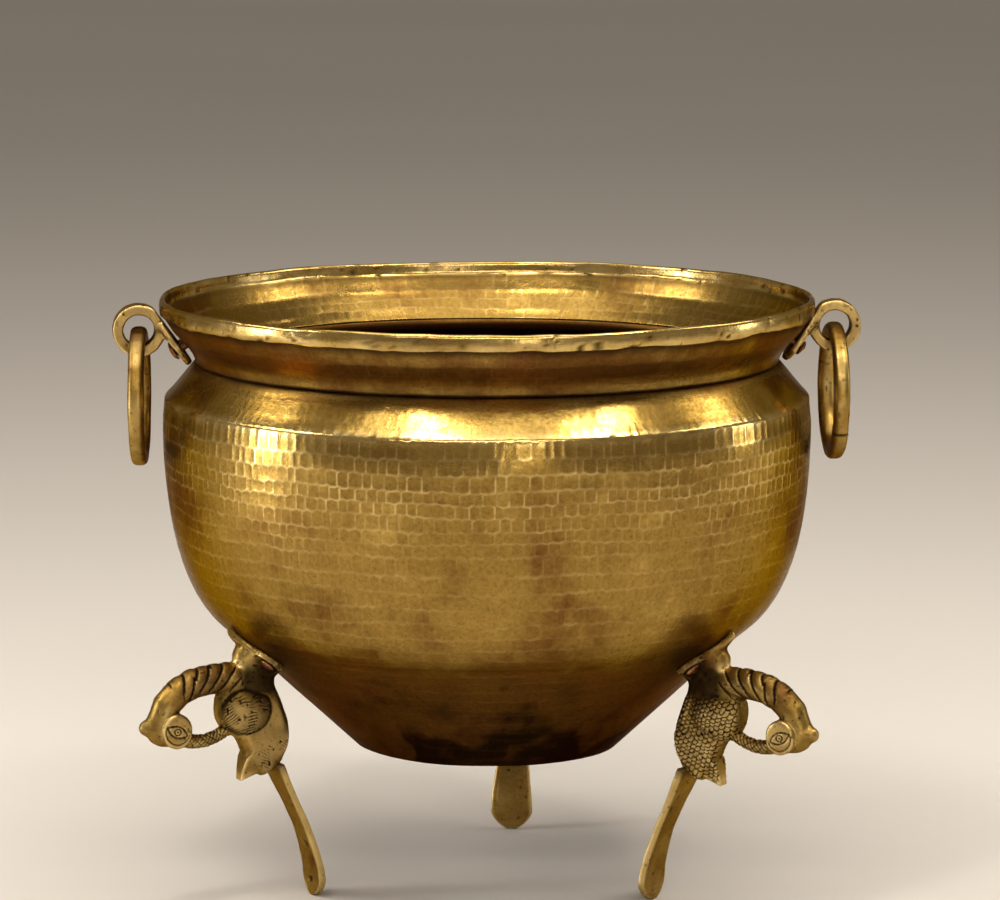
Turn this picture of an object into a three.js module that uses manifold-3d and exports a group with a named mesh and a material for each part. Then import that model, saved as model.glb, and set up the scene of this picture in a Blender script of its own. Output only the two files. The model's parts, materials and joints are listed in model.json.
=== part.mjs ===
// A hammered brass planter pot: a raised bowl with a flared collar, two loose ring handles in
// cast lugs, and three cast animal-head legs. Millimetres, +Z up, standing on z = 0.
import * as THREE from "three";
import { mergeVertices } from "three/addons/utils/BufferGeometryUtils.js";
import Module from "manifold-3d";

const wasm = await Module();
wasm.setup();

// ---- Driving dimensions ----------------------------------------------------------------------

// The pot's axis stands this far from the middle of the whole object, because a leg reaches back.
const AXIS_Y = -13.5;
const AROUND = 64; // facets around the bowl and the collar
const BELLY_STEPS = 6;
const GAP = 0.3; // clearance between touching pieces
const SEAT = 0.4; // clearance under a flat head on a curved wall
const WELD = 1e-3;
const OUTLINE_STEPS = 1.4; // points on a smooth outline for each one it is drawn through
const ROOM = 160; // edge of a block that cuts away all of a small casting on one side

const BOWL = {
  wall: 2.2,
  baseZ: 82,
  baseRadius: 77.7,
  coneTop: [152, 151.5],
  bellyPulls: [[175, 168], [188, 203]], // where the belly's curve heads from the cone and from above
  bellyTop: [188.5, 272],
  shoulder: [187, 286],
  mouthRadius: 169.6,
  mouthZ: 307,
  lipRadius: 166.4,
  lipZ: 310.6,
  lipFoot: 1.6, // how far the lip's inner face reaches below the mouth
  lipRoot: [1.4, 3.4], // where it meets the shoulder's inner face, in from the mouth and down
};

const COLLAR = {
  footRadius: 169.4,
  neck: [172.6, 315.5],
  flare: [182, 325.5],
  hemFoot: [188.4, 334.8],
  hemRadius: 190.4,
  topZ: 344.8,
  wall: 2.2,
  hem: [ // the rolled edge, in from its radius and down from its top
    [0.5, 8.8],
    [0, 5.3],
    [0.5, 1.4],
    [2, 0],
    [3.4, 0.4],
    [4, 6.4],
    [5.4, 7.6],
  ],
  footStep: 3, // height of the upright foot
  footLean: 0.4,
  footLap: 1, // how far the foot rests on the bowl's lip
};

const LUG = {
  azimuths: { left: 187, right: 0 }, // degrees around the pot
  eye: [202, 327], // distance from the axis, height
  eyeRadius: 15,
  holeRadius: 9,
  eyeWidth: 14, // along the hole
  plateSlope: 36, // degrees off the vertical, as the flare
  plateAt: [183, 324.8], // a point on the plate's back face
  plateDown: 20.5,
  plateUp: 8.5,
  plateHalfWidth: 13,
  plateThickness: 4.5,
  plateWidest: 0.4, // how far down the leaf is widest, as a share of plateDown
  plateTop: 0.55, // its width at the top, as a share of its widest
  plateSteps: 5,
  eyeSides: 30,
  holeSides: 24,
  rivetAcross: 8.5,
  rivetAlong: -9,
  rivetReach: 5.2, // from the plate's back face through the gap and the collar's wall
};

const RING = {
  barRadius: 5,
  meanRadius: 35.5,
  barZ: 324.1, // height of the bar's centre inside the eye
  barSides: 10,
  steps: 40,
  directions: { left: 91.2, right: 93.35 }, // azimuth of the ring's own plane, degrees
};

const LEG = {
  azimuths: { left: 206.5, right: 328, rear: 82.5 }, // degrees around the pot
  body: 16, // width across the neck and the horn
  bevel: 4,
  chest: { at: [156, 113.5], size: [17.6, 13, 16.4], sides: [16, 10] },
  eyeDisc: { at: [200.8, 107.5], radius: 8.4, width: 24, sides: 18 },
  nub: { at: [215.2, 108.2], radius: 5, sides: [10, 6] },
  beardRadius: 3.6,
  tailWidth: 14,
  tailBevel: 2,
  beard: [[193, 97.5], [182, 95.5], [168, 99.5]], // its middle line: distance out, height
  beardSides: 8,
  beardSteps: 6,
  plateThickness: 3.5,
  plateAt: [149.9, 149.5], // the saddle plate's middle, on the bowl
  plateReach: 24, // depth in which the plate bends with the bowl
  rivetAcross: 13.4,
  rivetAlong: -8,
  jointFrom: [126, 87.5], // the brazed joint between bracket and shank, seen from the side
  jointTo: [152, 71],
};

const SHANK = {
  thickness: 4.6,
  edge: 1.6, // rounding of the plate's edges
  // Its middle line, from below the floor to above the joint: distance out, height, half width.
  line: [
    [112.6, -2, 5.5],
    [112.2, 10, 10.6],
    [114, 22, 10.2],
    [119.5, 40, 9.4],
    [126.5, 56, 10.6],
    [134, 72, 12.6],
    [141, 90, 13],
  ],
  rings: 16,
};

const RIVET = {
  shank: 2.4,
  hole: 2.7,
  head: 4.6,
  dome: 2.1,
  insideDome: 1.6,
  crown: [0.65, 0.75], // the dome's bend, as shares of the head's radius and of the dome's height
  sides: 12,
  reach: 12, // length of the cut on each side of the wall
};

const brass = (color, roughness) =>
  new THREE.MeshStandardMaterial({ color, roughness, metalness: 1 });
const MATERIALS = {
  hammered: brass(0xa9803f, 0.36),
  cast: brass(0xb8924c, 0.4),
  pale: brass(0xc4a066, 0.45),
  copper: brass(0x9a5533, 0.4),
};

// ---- Helpers ---------------------------------------------------------------------------------

const radians = THREE.MathUtils.degToRad;
const vector2 = ([x, y]) => new THREE.Vector2(x, y);

// A closed geometry as a solid, its shared corners joined.
function solidOf(geometry) {
  const plain = geometry.clone();
  plain.deleteAttribute("normal");
  plain.deleteAttribute("uv");
  const welded = mergeVertices(plain, WELD);
  return new wasm.Manifold(
    new wasm.Mesh({
      numProp: 3,
      vertProperties: welded.attributes.position.array,
      triVerts: new Uint32Array(welded.index.array),
    }),
  );
}

function geometryOf(solid) {
  const { vertProperties, triVerts } = solid.getMesh();
  const geometry = new THREE.BufferGeometry();
  geometry.setAttribute("position", new THREE.BufferAttribute(vertProperties, 3));
  geometry.setIndex(new THREE.BufferAttribute(triVerts, 1));
  const faceted = geometry.toNonIndexed();
  faceted.computeVertexNormals();
  return faceted;
}

const join = (solids) => solids.reduce((whole, solid) => whole.add(solid));
const cut = (solid, tools) => tools.reduce((left, tool) => left.subtract(tool), solid);

// A profile of [radius, height] points turned round the Z axis.
function turned(profile, sides = AROUND) {
  return new THREE.LatheGeometry(profile.map(vector2), sides).rotateX(Math.PI / 2);
}

// The profile moved outwards by a distance; a profile runs from the base up its outer side.
function offset(profile, distance) {
  const points = profile.map(vector2);
  const normals = points.slice(1).map((point, i) => {
    const along = point.clone().sub(points[i]).normalize();
    return new THREE.Vector2(along.y, -along.x);
  });
  return points.map((point, i) => {
    const before = normals[Math.max(i - 1, 0)];
    const after = normals[Math.min(i, normals.length - 1)];
    const middle = before.clone().add(after).normalize();
    const reach = distance / middle.dot(before);
    return [point.x + middle.x * reach, point.y + middle.y * reach];
  });
}

// An outline in the plane of radius and height, given a width along Y and rounded edges.
function slab(shape, width, bevel) {
  const geometry = new THREE.ExtrudeGeometry(shape, {
    depth: width - 2 * bevel,
    bevelEnabled: bevel > 0,
    bevelThickness: bevel,
    bevelSize: bevel,
    bevelOffset: -bevel,
    bevelSegments: 1,
    curveSegments: 6,
  });
  geometry.translate(0, 0, bevel - width / 2);
  return geometry.rotateX(Math.PI / 2);
}

function rod(radius, from, to, sides) {
  const along = new THREE.Vector3().subVectors(to, from);
  const geometry = new THREE.CylinderGeometry(radius, radius, along.length(), sides);
  const up = new THREE.Vector3(0, 1, 0);
  const turn = new THREE.Quaternion().setFromUnitVectors(up, along.clone().normalize());
  geometry.applyQuaternion(turn);
  return geometry.translate(...from.clone().addScaledVector(along, 1 / 2).toArray());
}

function roundSection(radius, sides) {
  const shape = new THREE.Shape();
  for (let i = 0; i < sides; i += 1) {
    const angle = (i / sides) * 2 * Math.PI;
    shape[i ? "lineTo" : "moveTo"](radius * Math.cos(angle), radius * Math.sin(angle));
  }
  shape.closePath();
  return shape;
}

// A smooth closed outline through points.
function outline(points) {
  const curve = new THREE.CatmullRomCurve3(
    points.map(([x, y]) => new THREE.Vector3(x, y, 0)),
    true,
    "centripetal",
  );
  const fine = curve.getPoints(Math.round(points.length * OUTLINE_STEPS)).slice(0, -1);
  return new THREE.Shape(fine.map(({ x, y }) => new THREE.Vector2(x, y)));
}

const group = new THREE.Group();
group.position.y = AXIS_Y;

function addPiece(name, solid, material, parent = group) {
  const mesh = new THREE.Mesh(geometryOf(solid), material);
  mesh.name = name;
  parent.add(mesh);
  return mesh;
}

// A group turned round the pot's axis.
function turnedGroup(azimuth) {
  const turning = new THREE.Group();
  turning.rotation.z = radians(azimuth);
  group.add(turning);
  return turning;
}

// ---- Rivets ----------------------------------------------------------------------------------

// A rivet stands on its wall's outer face: a head outside its plate, and one inside the wall.
function rivetAt(wall, plate, place) {
  const outside = GAP + plate + SEAT;
  const inside = -wall - SEAT;
  const { shank, head, dome, insideDome, sides } = RIVET;
  const [crownRadius, crownHeight] = [RIVET.crown[0] * head, RIVET.crown[1]];
  const profile = [
    [0, inside - insideDome],
    [crownRadius, inside - crownHeight * insideDome],
    [head, inside],
    [shank, inside],
    [shank, outside],
    [head, outside],
    [crownRadius, outside + crownHeight * dome],
    [0, outside + dome],
  ];
  return solidOf(turned(profile, sides)).transform(place.elements);
}

function rivetHole(place) {
  const end = new THREE.Vector3(0, 0, RIVET.reach);
  const hole = rod(RIVET.hole, end.clone().negate(), end, RIVET.sides);
  return solidOf(hole).transform(place.elements);
}

// A frame on a wall that faces out and down: X across, Y along the slope, Z out of the wall.
function wallFrame(radius, height, slope, azimuth) {
  const turn = radians(azimuth);
  const out = new THREE.Vector3(
    Math.cos(slope) * Math.cos(turn),
    Math.cos(slope) * Math.sin(turn),
    -Math.sin(slope),
  );
  const across = new THREE.Vector3(-Math.sin(turn), Math.cos(turn), 0);
  const along = new THREE.Vector3().crossVectors(out, across);
  const frame = new THREE.Matrix4().makeBasis(across, along, out);
  return frame.setPosition(radius * Math.cos(turn), radius * Math.sin(turn), height);
}

// ---- Bowl ------------------------------------------------------------------------------------

function bowlOutside() {
  const belly = new THREE.CubicBezierCurve(
    vector2(BOWL.coneTop),
    ...BOWL.bellyPulls.map(vector2),
    vector2(BOWL.bellyTop),
  );
  return [
    [0, BOWL.baseZ],
    [BOWL.baseRadius, BOWL.baseZ],
    ...belly.getPoints(BELLY_STEPS).map(({ x, y }) => [x, y]),
    BOWL.shoulder,
    [BOWL.mouthRadius, BOWL.mouthZ],
  ];
}

function bowlProfile() {
  const inside = offset(bowlOutside(), -BOWL.wall).reverse();
  inside[inside.length - 1][0] = 0;
  const [rootIn, rootDown] = BOWL.lipRoot;
  const mouth = [
    [BOWL.lipRadius, BOWL.mouthZ],
    [BOWL.lipRadius, BOWL.lipZ],
    [BOWL.lipRadius - BOWL.wall, BOWL.lipZ],
    [BOWL.lipRadius - BOWL.wall, BOWL.mouthZ - BOWL.lipFoot],
    [BOWL.mouthRadius - rootIn, BOWL.mouthZ - rootDown],
  ];
  return [...bowlOutside(), ...mouth, ...inside.slice(1)];
}

// The space that the bowl fills, grown by a distance, for pieces that lie against it.
function bowlSpace(distance) {
  const outside = offset(bowlOutside(), distance);
  outside[0][0] = 0;
  return solidOf(turned([...outside, [0, outside[outside.length - 1][1]]]));
}

// ---- Collar ----------------------------------------------------------------------------------

function collarProfile() {
  const { hemRadius, topZ, wall } = COLLAR;
  const outside = [
    [COLLAR.footRadius, BOWL.mouthZ + SEAT],
    [COLLAR.footRadius + COLLAR.footLean, BOWL.mouthZ + COLLAR.footStep],
    COLLAR.neck,
    COLLAR.flare,
    COLLAR.hemFoot,
  ];
  const hem = COLLAR.hem.map(([inwards, down]) => [hemRadius - inwards, topZ - down]);
  const inside = offset(outside.slice(1, 4), -wall).reverse();
  const foot = [
    [BOWL.lipRadius - COLLAR.footLap, BOWL.lipZ + SEAT],
    [BOWL.lipRadius + SEAT, BOWL.lipZ + SEAT],
    [BOWL.lipRadius + SEAT, BOWL.mouthZ + SEAT],
  ];
  return [...outside, ...hem, ...inside.slice(0, 2), ...foot, outside[0]];
}

// ---- Handles ---------------------------------------------------------------------------------

function lugFrame() {
  const [radius, height] = LUG.plateAt;
  return wallFrame(radius, height, radians(LUG.plateSlope), 0);
}

function lugRivetFrame(side) {
  const shift = new THREE.Matrix4().makeTranslation(side * LUG.rivetAcross, LUG.rivetAlong, 0);
  return lugFrame().multiply(shift);
}

// The leaf-shaped foot plate, its back face on the plane z = 0 of the lug's frame.
function lugPlate() {
  const { plateDown: down, plateUp: up, plateHalfWidth: half } = LUG;
  const leaf = new THREE.Shape();
  const widest = -down * LUG.plateWidest;
  const top = half * LUG.plateTop;
  leaf.moveTo(0, -down);
  leaf.quadraticCurveTo(half, -down, half, widest);
  leaf.quadraticCurveTo(half, up + widest / 2, top, up);
  leaf.lineTo(-top, up);
  leaf.quadraticCurveTo(-half, up + widest / 2, -half, widest);
  leaf.quadraticCurveTo(-half, -down, 0, -down);
  const plate = new THREE.ExtrudeGeometry(leaf, {
    depth: LUG.plateThickness,
    bevelEnabled: false,
    curveSegments: LUG.plateSteps,
  });
  return solidOf(plate).transform(lugFrame().elements);
}

function lug() {
  const [radius, height] = LUG.eye;
  const half = LUG.eyeWidth / 2;
  const across = (reach) => new THREE.Vector3(radius, reach, height);
  const eye = solidOf(rod(LUG.eyeRadius, across(-half), across(half), LUG.eyeSides));
  const hole = solidOf(rod(LUG.holeRadius, across(-2 * half), across(2 * half), LUG.holeSides));
  const behind = solidOf(new THREE.BoxGeometry(ROOM, ROOM, ROOM).translate(0, 0, -ROOM / 2));
  const holes = [-1, 1].map((side) => rivetHole(lugRivetFrame(side)));
  return cut(join([eye, lugPlate()]), [hole, behind.transform(lugFrame().elements), ...holes]);
}

// The lug's plate stands a little off the collar, so its rivets are longer than the legs'.
function lugRivet(side) {
  return rivetAt(LUG.rivetReach, LUG.plateThickness - GAP, lugRivetFrame(side));
}

function ring() {
  const { barRadius, meanRadius } = RING;
  const torus = new THREE.TorusGeometry(meanRadius, barRadius, RING.barSides, RING.steps);
  torus.rotateY(Math.PI / 2);
  return solidOf(torus);
}

// ---- Legs ------------------------------------------------------------------------------------

// Neck, back, horn and head, seen from the side, with the gap under the horn left open.
function bracketOutline() {
  return outline([
    [135, 137],
    [138, 129],
    [134.5, 119],
    [130.5, 107],
    [130, 95.5],
    [133, 84],
    [142, 76.5],
    [152, 84],
    [163, 96.5],
    [171.5, 103],
    [173, 113],
    [173, 121],
    [181, 125.2],
    [188.5, 124],
    [193.5, 119],
    [192.4, 107],
    [190.5, 98],
    [197.5, 94.8],
    [207, 98.8],
    [214.5, 104],
    [215.5, 112.5],
    [211, 123],
    [203.5, 131],
    [192, 138],
    [178, 141],
    [163, 139.5],
    [160, 146],
    [158.5, 156],
    [146, 150],
  ]);
}

function tailOutline() {
  return outline([
    [129.5, 98],
    [130, 86],
    [136, 77.5],
    [146, 73],
    [158.5, 73],
    [159, 80],
    [156, 88],
    [161, 97],
    [145, 106],
  ]);
}

function beard() {
  const line = LEG.beard.map(([radius, height]) => new THREE.Vector3(radius, 0, height));
  const path = new THREE.QuadraticBezierCurve3(...line);
  return new THREE.ExtrudeGeometry(roundSection(LEG.beardRadius, LEG.beardSides), {
    steps: LEG.beardSteps,
    extrudePath: path,
    bevelEnabled: false,
  });
}

// The saddle plate's outline in the bowl's surface: a tongue upwards and a wing to each side.
function saddleOutline() {
  const saddle = new THREE.Shape();
  saddle.moveTo(0, 20);
  for (const side of [1, -1]) {
    const points = [
      [4, 10],
      [10, 1],
      [15, -2],
      [20.5, -9],
      [21, -14],
      [14, -17],
      [6, -20],
    ];
    const ordered = side > 0 ? points : points.reverse();
    ordered.forEach(([across, along]) => saddle.lineTo(side * across, along));
  }
  saddle.closePath();
  return saddle;
}

function saddleFrame() {
  const [radius, height] = LEG.plateAt;
  return wallFrame(radius, height, coneSlope(), 0);
}

// How far the cone's outward normal dips below the horizontal.
function coneSlope() {
  const [radius, height] = BOWL.coneTop;
  return Math.atan2(radius - BOWL.baseRadius, height - BOWL.baseZ);
}

function saddlePlate() {
  const depth = LEG.plateReach;
  const block = new THREE.ExtrudeGeometry(saddleOutline(), { depth, bevelEnabled: false });
  block.translate(0, 0, -depth / 2);
  const skin = bowlSpace(GAP + LEG.plateThickness);
  return solidOf(block).transform(saddleFrame().elements).intersect(skin);
}

function legRivetFrame(side) {
  const [radius, height] = LEG.plateAt;
  const along = LEG.rivetAlong;
  const slope = coneSlope();
  const rivetRadius = radius + along * Math.sin(slope);
  const azimuth = THREE.MathUtils.radToDeg(side * LEG.rivetAcross / rivetRadius);
  return wallFrame(rivetRadius, height + along * Math.cos(slope), slope, azimuth);
}

// A half-space beyond the brazed joint, on the shank's side or on the bracket's.
function beyondJoint(side) {
  const [fromR, fromZ] = LEG.jointFrom;
  const [toR, toZ] = LEG.jointTo;
  const tilt = Math.atan2(toZ - fromZ, toR - fromR);
  const block = new THREE.BoxGeometry(ROOM, ROOM, ROOM);
  block.translate(0, 0, side * (ROOM / 2 - GAP / 2));
  block.rotateY(-tilt);
  block.translate((fromR + toR) / 2, 0, (fromZ + toZ) / 2);
  return solidOf(block);
}

function bracket() {
  const { chest, eyeDisc, nub } = LEG;
  const place = (geometry, [radius, height]) => geometry.translate(radius, 0, height);
  const chestBall = new THREE.SphereGeometry(1, ...chest.sides).scale(...chest.size);
  const { radius, width, sides } = eyeDisc;
  const disc = new THREE.CylinderGeometry(radius, radius, width, sides);
  const nubBall = new THREE.SphereGeometry(nub.radius, ...nub.sides);
  const whole = join([
    solidOf(slab(bracketOutline(), LEG.body, LEG.bevel)),
    solidOf(slab(tailOutline(), LEG.tailWidth, LEG.tailBevel)),
    solidOf(place(chestBall, chest.at)),
    solidOf(place(disc, eyeDisc.at)),
    solidOf(place(nubBall, nub.at)),
    solidOf(beard()),
    saddlePlate(),
  ]);
  const holes = [-1, 1].map((side) => rivetHole(legRivetFrame(side)));
  return cut(whole, [bowlSpace(GAP), beyondJoint(-1), ...holes]);
}

// The shank as a stack of rounded sections along its curve, wide at the foot like a spoon.
function shank() {
  const { line, rings } = SHANK;
  const spine = new THREE.CatmullRomCurve3(
    line.map(([radius, height]) => new THREE.Vector3(radius, 0, height)),
  );
  const widthAt = (t) => {
    const at = t * (line.length - 1);
    const low = Math.min(Math.floor(at), line.length - 2);
    return THREE.MathUtils.lerp(line[low][2], line[low + 1][2], at - low);
  };
  const half = SHANK.thickness / 2;
  const corners = (width) => [
    [-half, -width + SHANK.edge],
    [-half, width - SHANK.edge],
    [0, width],
    [half, width - SHANK.edge],
    [half, -width + SHANK.edge],
    [0, -width],
  ];
  const positions = [];
  const faces = [];
  for (let i = 0; i <= rings; i += 1) {
    const t = i / rings;
    const centre = spine.getPoint(t);
    const tangent = spine.getTangent(t);
    for (const [out, across] of corners(widthAt(t))) {
      positions.push(centre.x + out * tangent.z, across, centre.z - out * tangent.x);
    }
  }
  const sides = corners(1).length;
  for (let i = 0; i < rings; i += 1) {
    for (let j = 0; j < sides; j += 1) {
      const a = i * sides + j;
      const b = i * sides + ((j + 1) % sides);
      faces.push(a, a + sides, b, b, a + sides, b + sides);
    }
  }
  for (let j = 1; j < sides - 1; j += 1) {
    faces.push(0, j, j + 1);
    faces.push(rings * sides, rings * sides + j + 1, rings * sides + j);
  }
  const geometry = new THREE.BufferGeometry();
  geometry.setAttribute("position", new THREE.Float32BufferAttribute(positions, 3));
  geometry.setIndex(faces);
  const floor = solidOf(new THREE.BoxGeometry(ROOM, ROOM, ROOM).translate(ROOM / 2, 0, -ROOM / 2));
  return cut(solidOf(geometry), [floor, beyondJoint(1)]);
}

// ---- Assembly --------------------------------------------------------------------------------

const turnedBy = (solid, azimuth) =>
  solid.transform(new THREE.Matrix4().makeRotationZ(radians(azimuth)).elements);

const legHoles = Object.values(LEG.azimuths).flatMap((azimuth) =>
  [-1, 1].map((side) => turnedBy(rivetHole(legRivetFrame(side)), azimuth)),
);
const lugHoles = Object.values(LUG.azimuths).flatMap((azimuth) =>
  [-1, 1].map((side) => turnedBy(rivetHole(lugRivetFrame(side)), azimuth)),
);

addPiece("bowl", cut(solidOf(turned(bowlProfile())), legHoles), MATERIALS.hammered);
addPiece("rim_collar", cut(solidOf(turned(collarProfile())), lugHoles), MATERIALS.hammered);

const sides = [-1, 1];
for (const [side, azimuth] of Object.entries(LUG.azimuths)) {
  const place = turnedGroup(azimuth);
  addPiece(`handle_lug_${side}`, lug(), MATERIALS.cast, place);
  sides.forEach((across, i) =>
    addPiece(`lug_rivet_${side}_${i + 1}`, lugRivet(across), MATERIALS.copper, place),
  );
  const handle = addPiece(`ring_handle_${side}`, ring(), MATERIALS.cast);
  const radius = LUG.eye[0];
  const turn = radians(azimuth);
  handle.position.set(radius * Math.cos(turn), radius * Math.sin(turn), RING.barZ - RING.meanRadius);
  handle.rotation.z = radians(RING.directions[side] - 90);
}

for (const [side, azimuth] of Object.entries(LEG.azimuths)) {
  const place = turnedGroup(azimuth);
  addPiece(`leg_bracket_${side}`, bracket(), MATERIALS.cast, place);
  addPiece(`leg_shank_${side}`, shank(), MATERIALS.pale, place);
  sides.forEach((across, i) => {
    const rivet = rivetAt(BOWL.wall, LEG.plateThickness, legRivetFrame(across));
    addPiece(`leg_rivet_${side}_${i + 1}`, rivet, MATERIALS.copper, place);
  });
}

export default group;
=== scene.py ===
import json
import math

import bpy
import numpy as np
from mathutils import Matrix, Vector


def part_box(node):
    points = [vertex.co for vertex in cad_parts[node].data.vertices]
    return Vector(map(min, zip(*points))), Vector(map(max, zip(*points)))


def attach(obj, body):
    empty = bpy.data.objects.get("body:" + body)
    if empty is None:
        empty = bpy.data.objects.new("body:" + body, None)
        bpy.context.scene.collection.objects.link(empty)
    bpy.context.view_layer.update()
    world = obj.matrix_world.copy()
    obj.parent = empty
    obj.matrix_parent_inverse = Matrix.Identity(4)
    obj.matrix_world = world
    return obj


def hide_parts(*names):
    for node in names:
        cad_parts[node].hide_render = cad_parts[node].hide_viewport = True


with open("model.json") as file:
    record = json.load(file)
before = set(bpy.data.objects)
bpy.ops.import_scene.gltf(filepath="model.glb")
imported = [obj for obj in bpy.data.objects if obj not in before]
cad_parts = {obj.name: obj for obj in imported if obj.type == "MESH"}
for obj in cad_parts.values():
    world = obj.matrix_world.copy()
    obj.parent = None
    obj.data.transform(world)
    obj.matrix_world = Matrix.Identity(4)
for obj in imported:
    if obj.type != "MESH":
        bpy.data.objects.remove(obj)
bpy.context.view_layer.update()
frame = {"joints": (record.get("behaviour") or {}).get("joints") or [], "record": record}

# A hammered brass planter pot. Shapes are given in millimetres and made in metres, in the
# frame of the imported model.

MM = 0.001

# ---- Where things are, from the frame --------------------------------------------------------

JOINTS = {joint["name"]: joint for joint in frame["joints"]}
MOUNTS = {mount["name"]: mount for mount in frame["record"]["mounts"]}
COLLAR_LOW, COLLAR_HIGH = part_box("rim_collar")
AXIS_Y = (COLLAR_LOW.y + COLLAR_HIGH.y) / 2
LEGS = ("left", "right", "rear")
HANDLES = ("left", "right")


def azimuth_of(point):
    """The angle round the pot's axis at which a point stands."""
    return math.atan2(point[1] - AXIS_Y, point[0])


def standing(azimuth):
    """From a piece's own outward, sideways and upward millimetres to metres round the pot."""
    return (
        Matrix.Translation((0, AXIS_Y, 0))
        @ Matrix.Rotation(azimuth, 4, "Z")
        @ Matrix.Diagonal((MM, MM, MM, 1))
    )


LEG_PLACES = {leg: standing(azimuth_of(MOUNTS["foot_" + leg]["pos_m"])) for leg in LEGS}
LUG_PLACES = {side: standing(azimuth_of(JOINTS["ring_swing_" + side]["pos_m"])) for side in HANDLES}


def moved(points, place):
    matrix = np.array(place)
    return points @ matrix[:3, :3].T + matrix[:3, 3]


# ---- Numbers and noise -----------------------------------------------------------------------

def smoothstep(low, high, value):
    t = np.clip((value - low) / (high - low), 0, 1)
    return t * t * (3 - 2 * t)


def lattice(corner, seed):
    """A number from -1 to 1 for each whole-numbered corner."""
    mixed = (corner[:, 0] * 73856093) ^ (corner[:, 1] * 19349663) ^ (corner[:, 2] * 83492791)
    mixed = (mixed ^ (seed * 668265263)) & 0xFFFFFFFF
    mixed = ((mixed ^ (mixed >> 15)) * 1274126177) & 0xFFFFFFFF
    mixed = ((mixed ^ (mixed >> 13)) * 2654435761) & 0xFFFFFFFF
    return ((mixed ^ (mixed >> 16)) % 20011) / 10005.0 - 1


def noise(points, lump, seed):
    """Smooth noise from -1 to 1, with lumps this wide in the points' own unit."""
    scaled = np.asarray(points) / lump
    cell = np.floor(scaled).astype(np.int64)
    inside = scaled - cell
    inside = inside * inside * (3 - 2 * inside)
    total = np.zeros(len(scaled))
    for dx in (0, 1):
        for dy in (0, 1):
            for dz in (0, 1):
                step = np.array((dx, dy, dz))
                weight = np.prod(np.where(step, inside, 1 - inside), axis=1)
                total += weight * lattice(cell + step, seed)
    return total


def layered_noise(points, lump, seed, layers=3):
    total = sum(noise(points, lump / 2**i, seed + i) / 2**i for i in range(layers))
    return total / sum(0.5**i for i in range(layers))


# ---- Meshes ----------------------------------------------------------------------------------

def linked(name, data):
    """A new object in the scene."""
    thing = bpy.data.objects.new(name, data)
    bpy.context.scene.collection.objects.link(thing)
    return thing


def make_mesh(name, points, faces, attributes=None):
    """A smooth-shaded object from points in metres, faces, and numbers kept with each point."""
    mesh = bpy.data.meshes.new(name)
    mesh.from_pydata(np.asarray(points).tolist(), [], [list(map(int, face)) for face in faces])
    mesh.polygons.foreach_set("use_smooth", np.ones(len(mesh.polygons), bool))
    for key, values in (attributes or {}).items():
        layer = mesh.attributes.new(key, "FLOAT", "POINT")
        layer.data.foreach_set("value", np.asarray(values, np.float32))
    mesh.update()
    return linked(name, mesh)


def side_by_side(pairs):
    """A list of pairs as two columns of numbers."""
    return [np.array(side)[:, None] for side in zip(*pairs)]


def end_caps(total, columns):
    """The faces that close the first and last rows of a grid with this many points."""
    return [list(range(columns))[::-1], list(range(total - columns, total))]


def grid_faces(rows, columns, closed_rows=False):
    """Quads of a grid of points whose columns close into a loop, and its rows too if asked."""
    row = np.arange(rows if closed_rows else rows - 1)[:, None]
    column = np.arange(columns)[None, :]
    beside = (column + 1) % columns
    above = (row + 1) % rows
    corners = (
        row * columns + column,
        row * columns + beside,
        above * columns + beside,
        above * columns + column,
    )
    return np.stack([(c + 0 * row).reshape(-1) for c in corners], axis=1)


def point_normals(points, faces):
    """Area-weighted normals at the points of a mesh of quads."""
    a, b, c, d = (points[faces[:, i]] for i in range(4))
    across = np.cross(c - a, d - b)
    normals = np.zeros_like(points)
    for axis in range(3):
        for i in range(4):
            normals[:, axis] += np.bincount(faces[:, i], across[:, axis], len(points))
    return normals / np.maximum(np.linalg.norm(normals, axis=1, keepdims=True), 1e-12)


def relax(values, faces, rounds):
    """Values at a mesh's points, averaged with their neighbours' this many times."""
    ends = np.concatenate([faces[:, (i, (i + 1) % 4)] for i in range(4)])
    ends = np.concatenate([ends, ends[:, ::-1]])
    count = np.bincount(ends[:, 0], minlength=len(values))
    for _ in range(rounds):
        mean = [
            np.bincount(ends[:, 0], values[ends[:, 1], i], len(values)) / count
            for i in range(values.shape[1])
        ]
        values = values * 0.5 + np.stack(mean, axis=1) * 0.5
    return values


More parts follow.
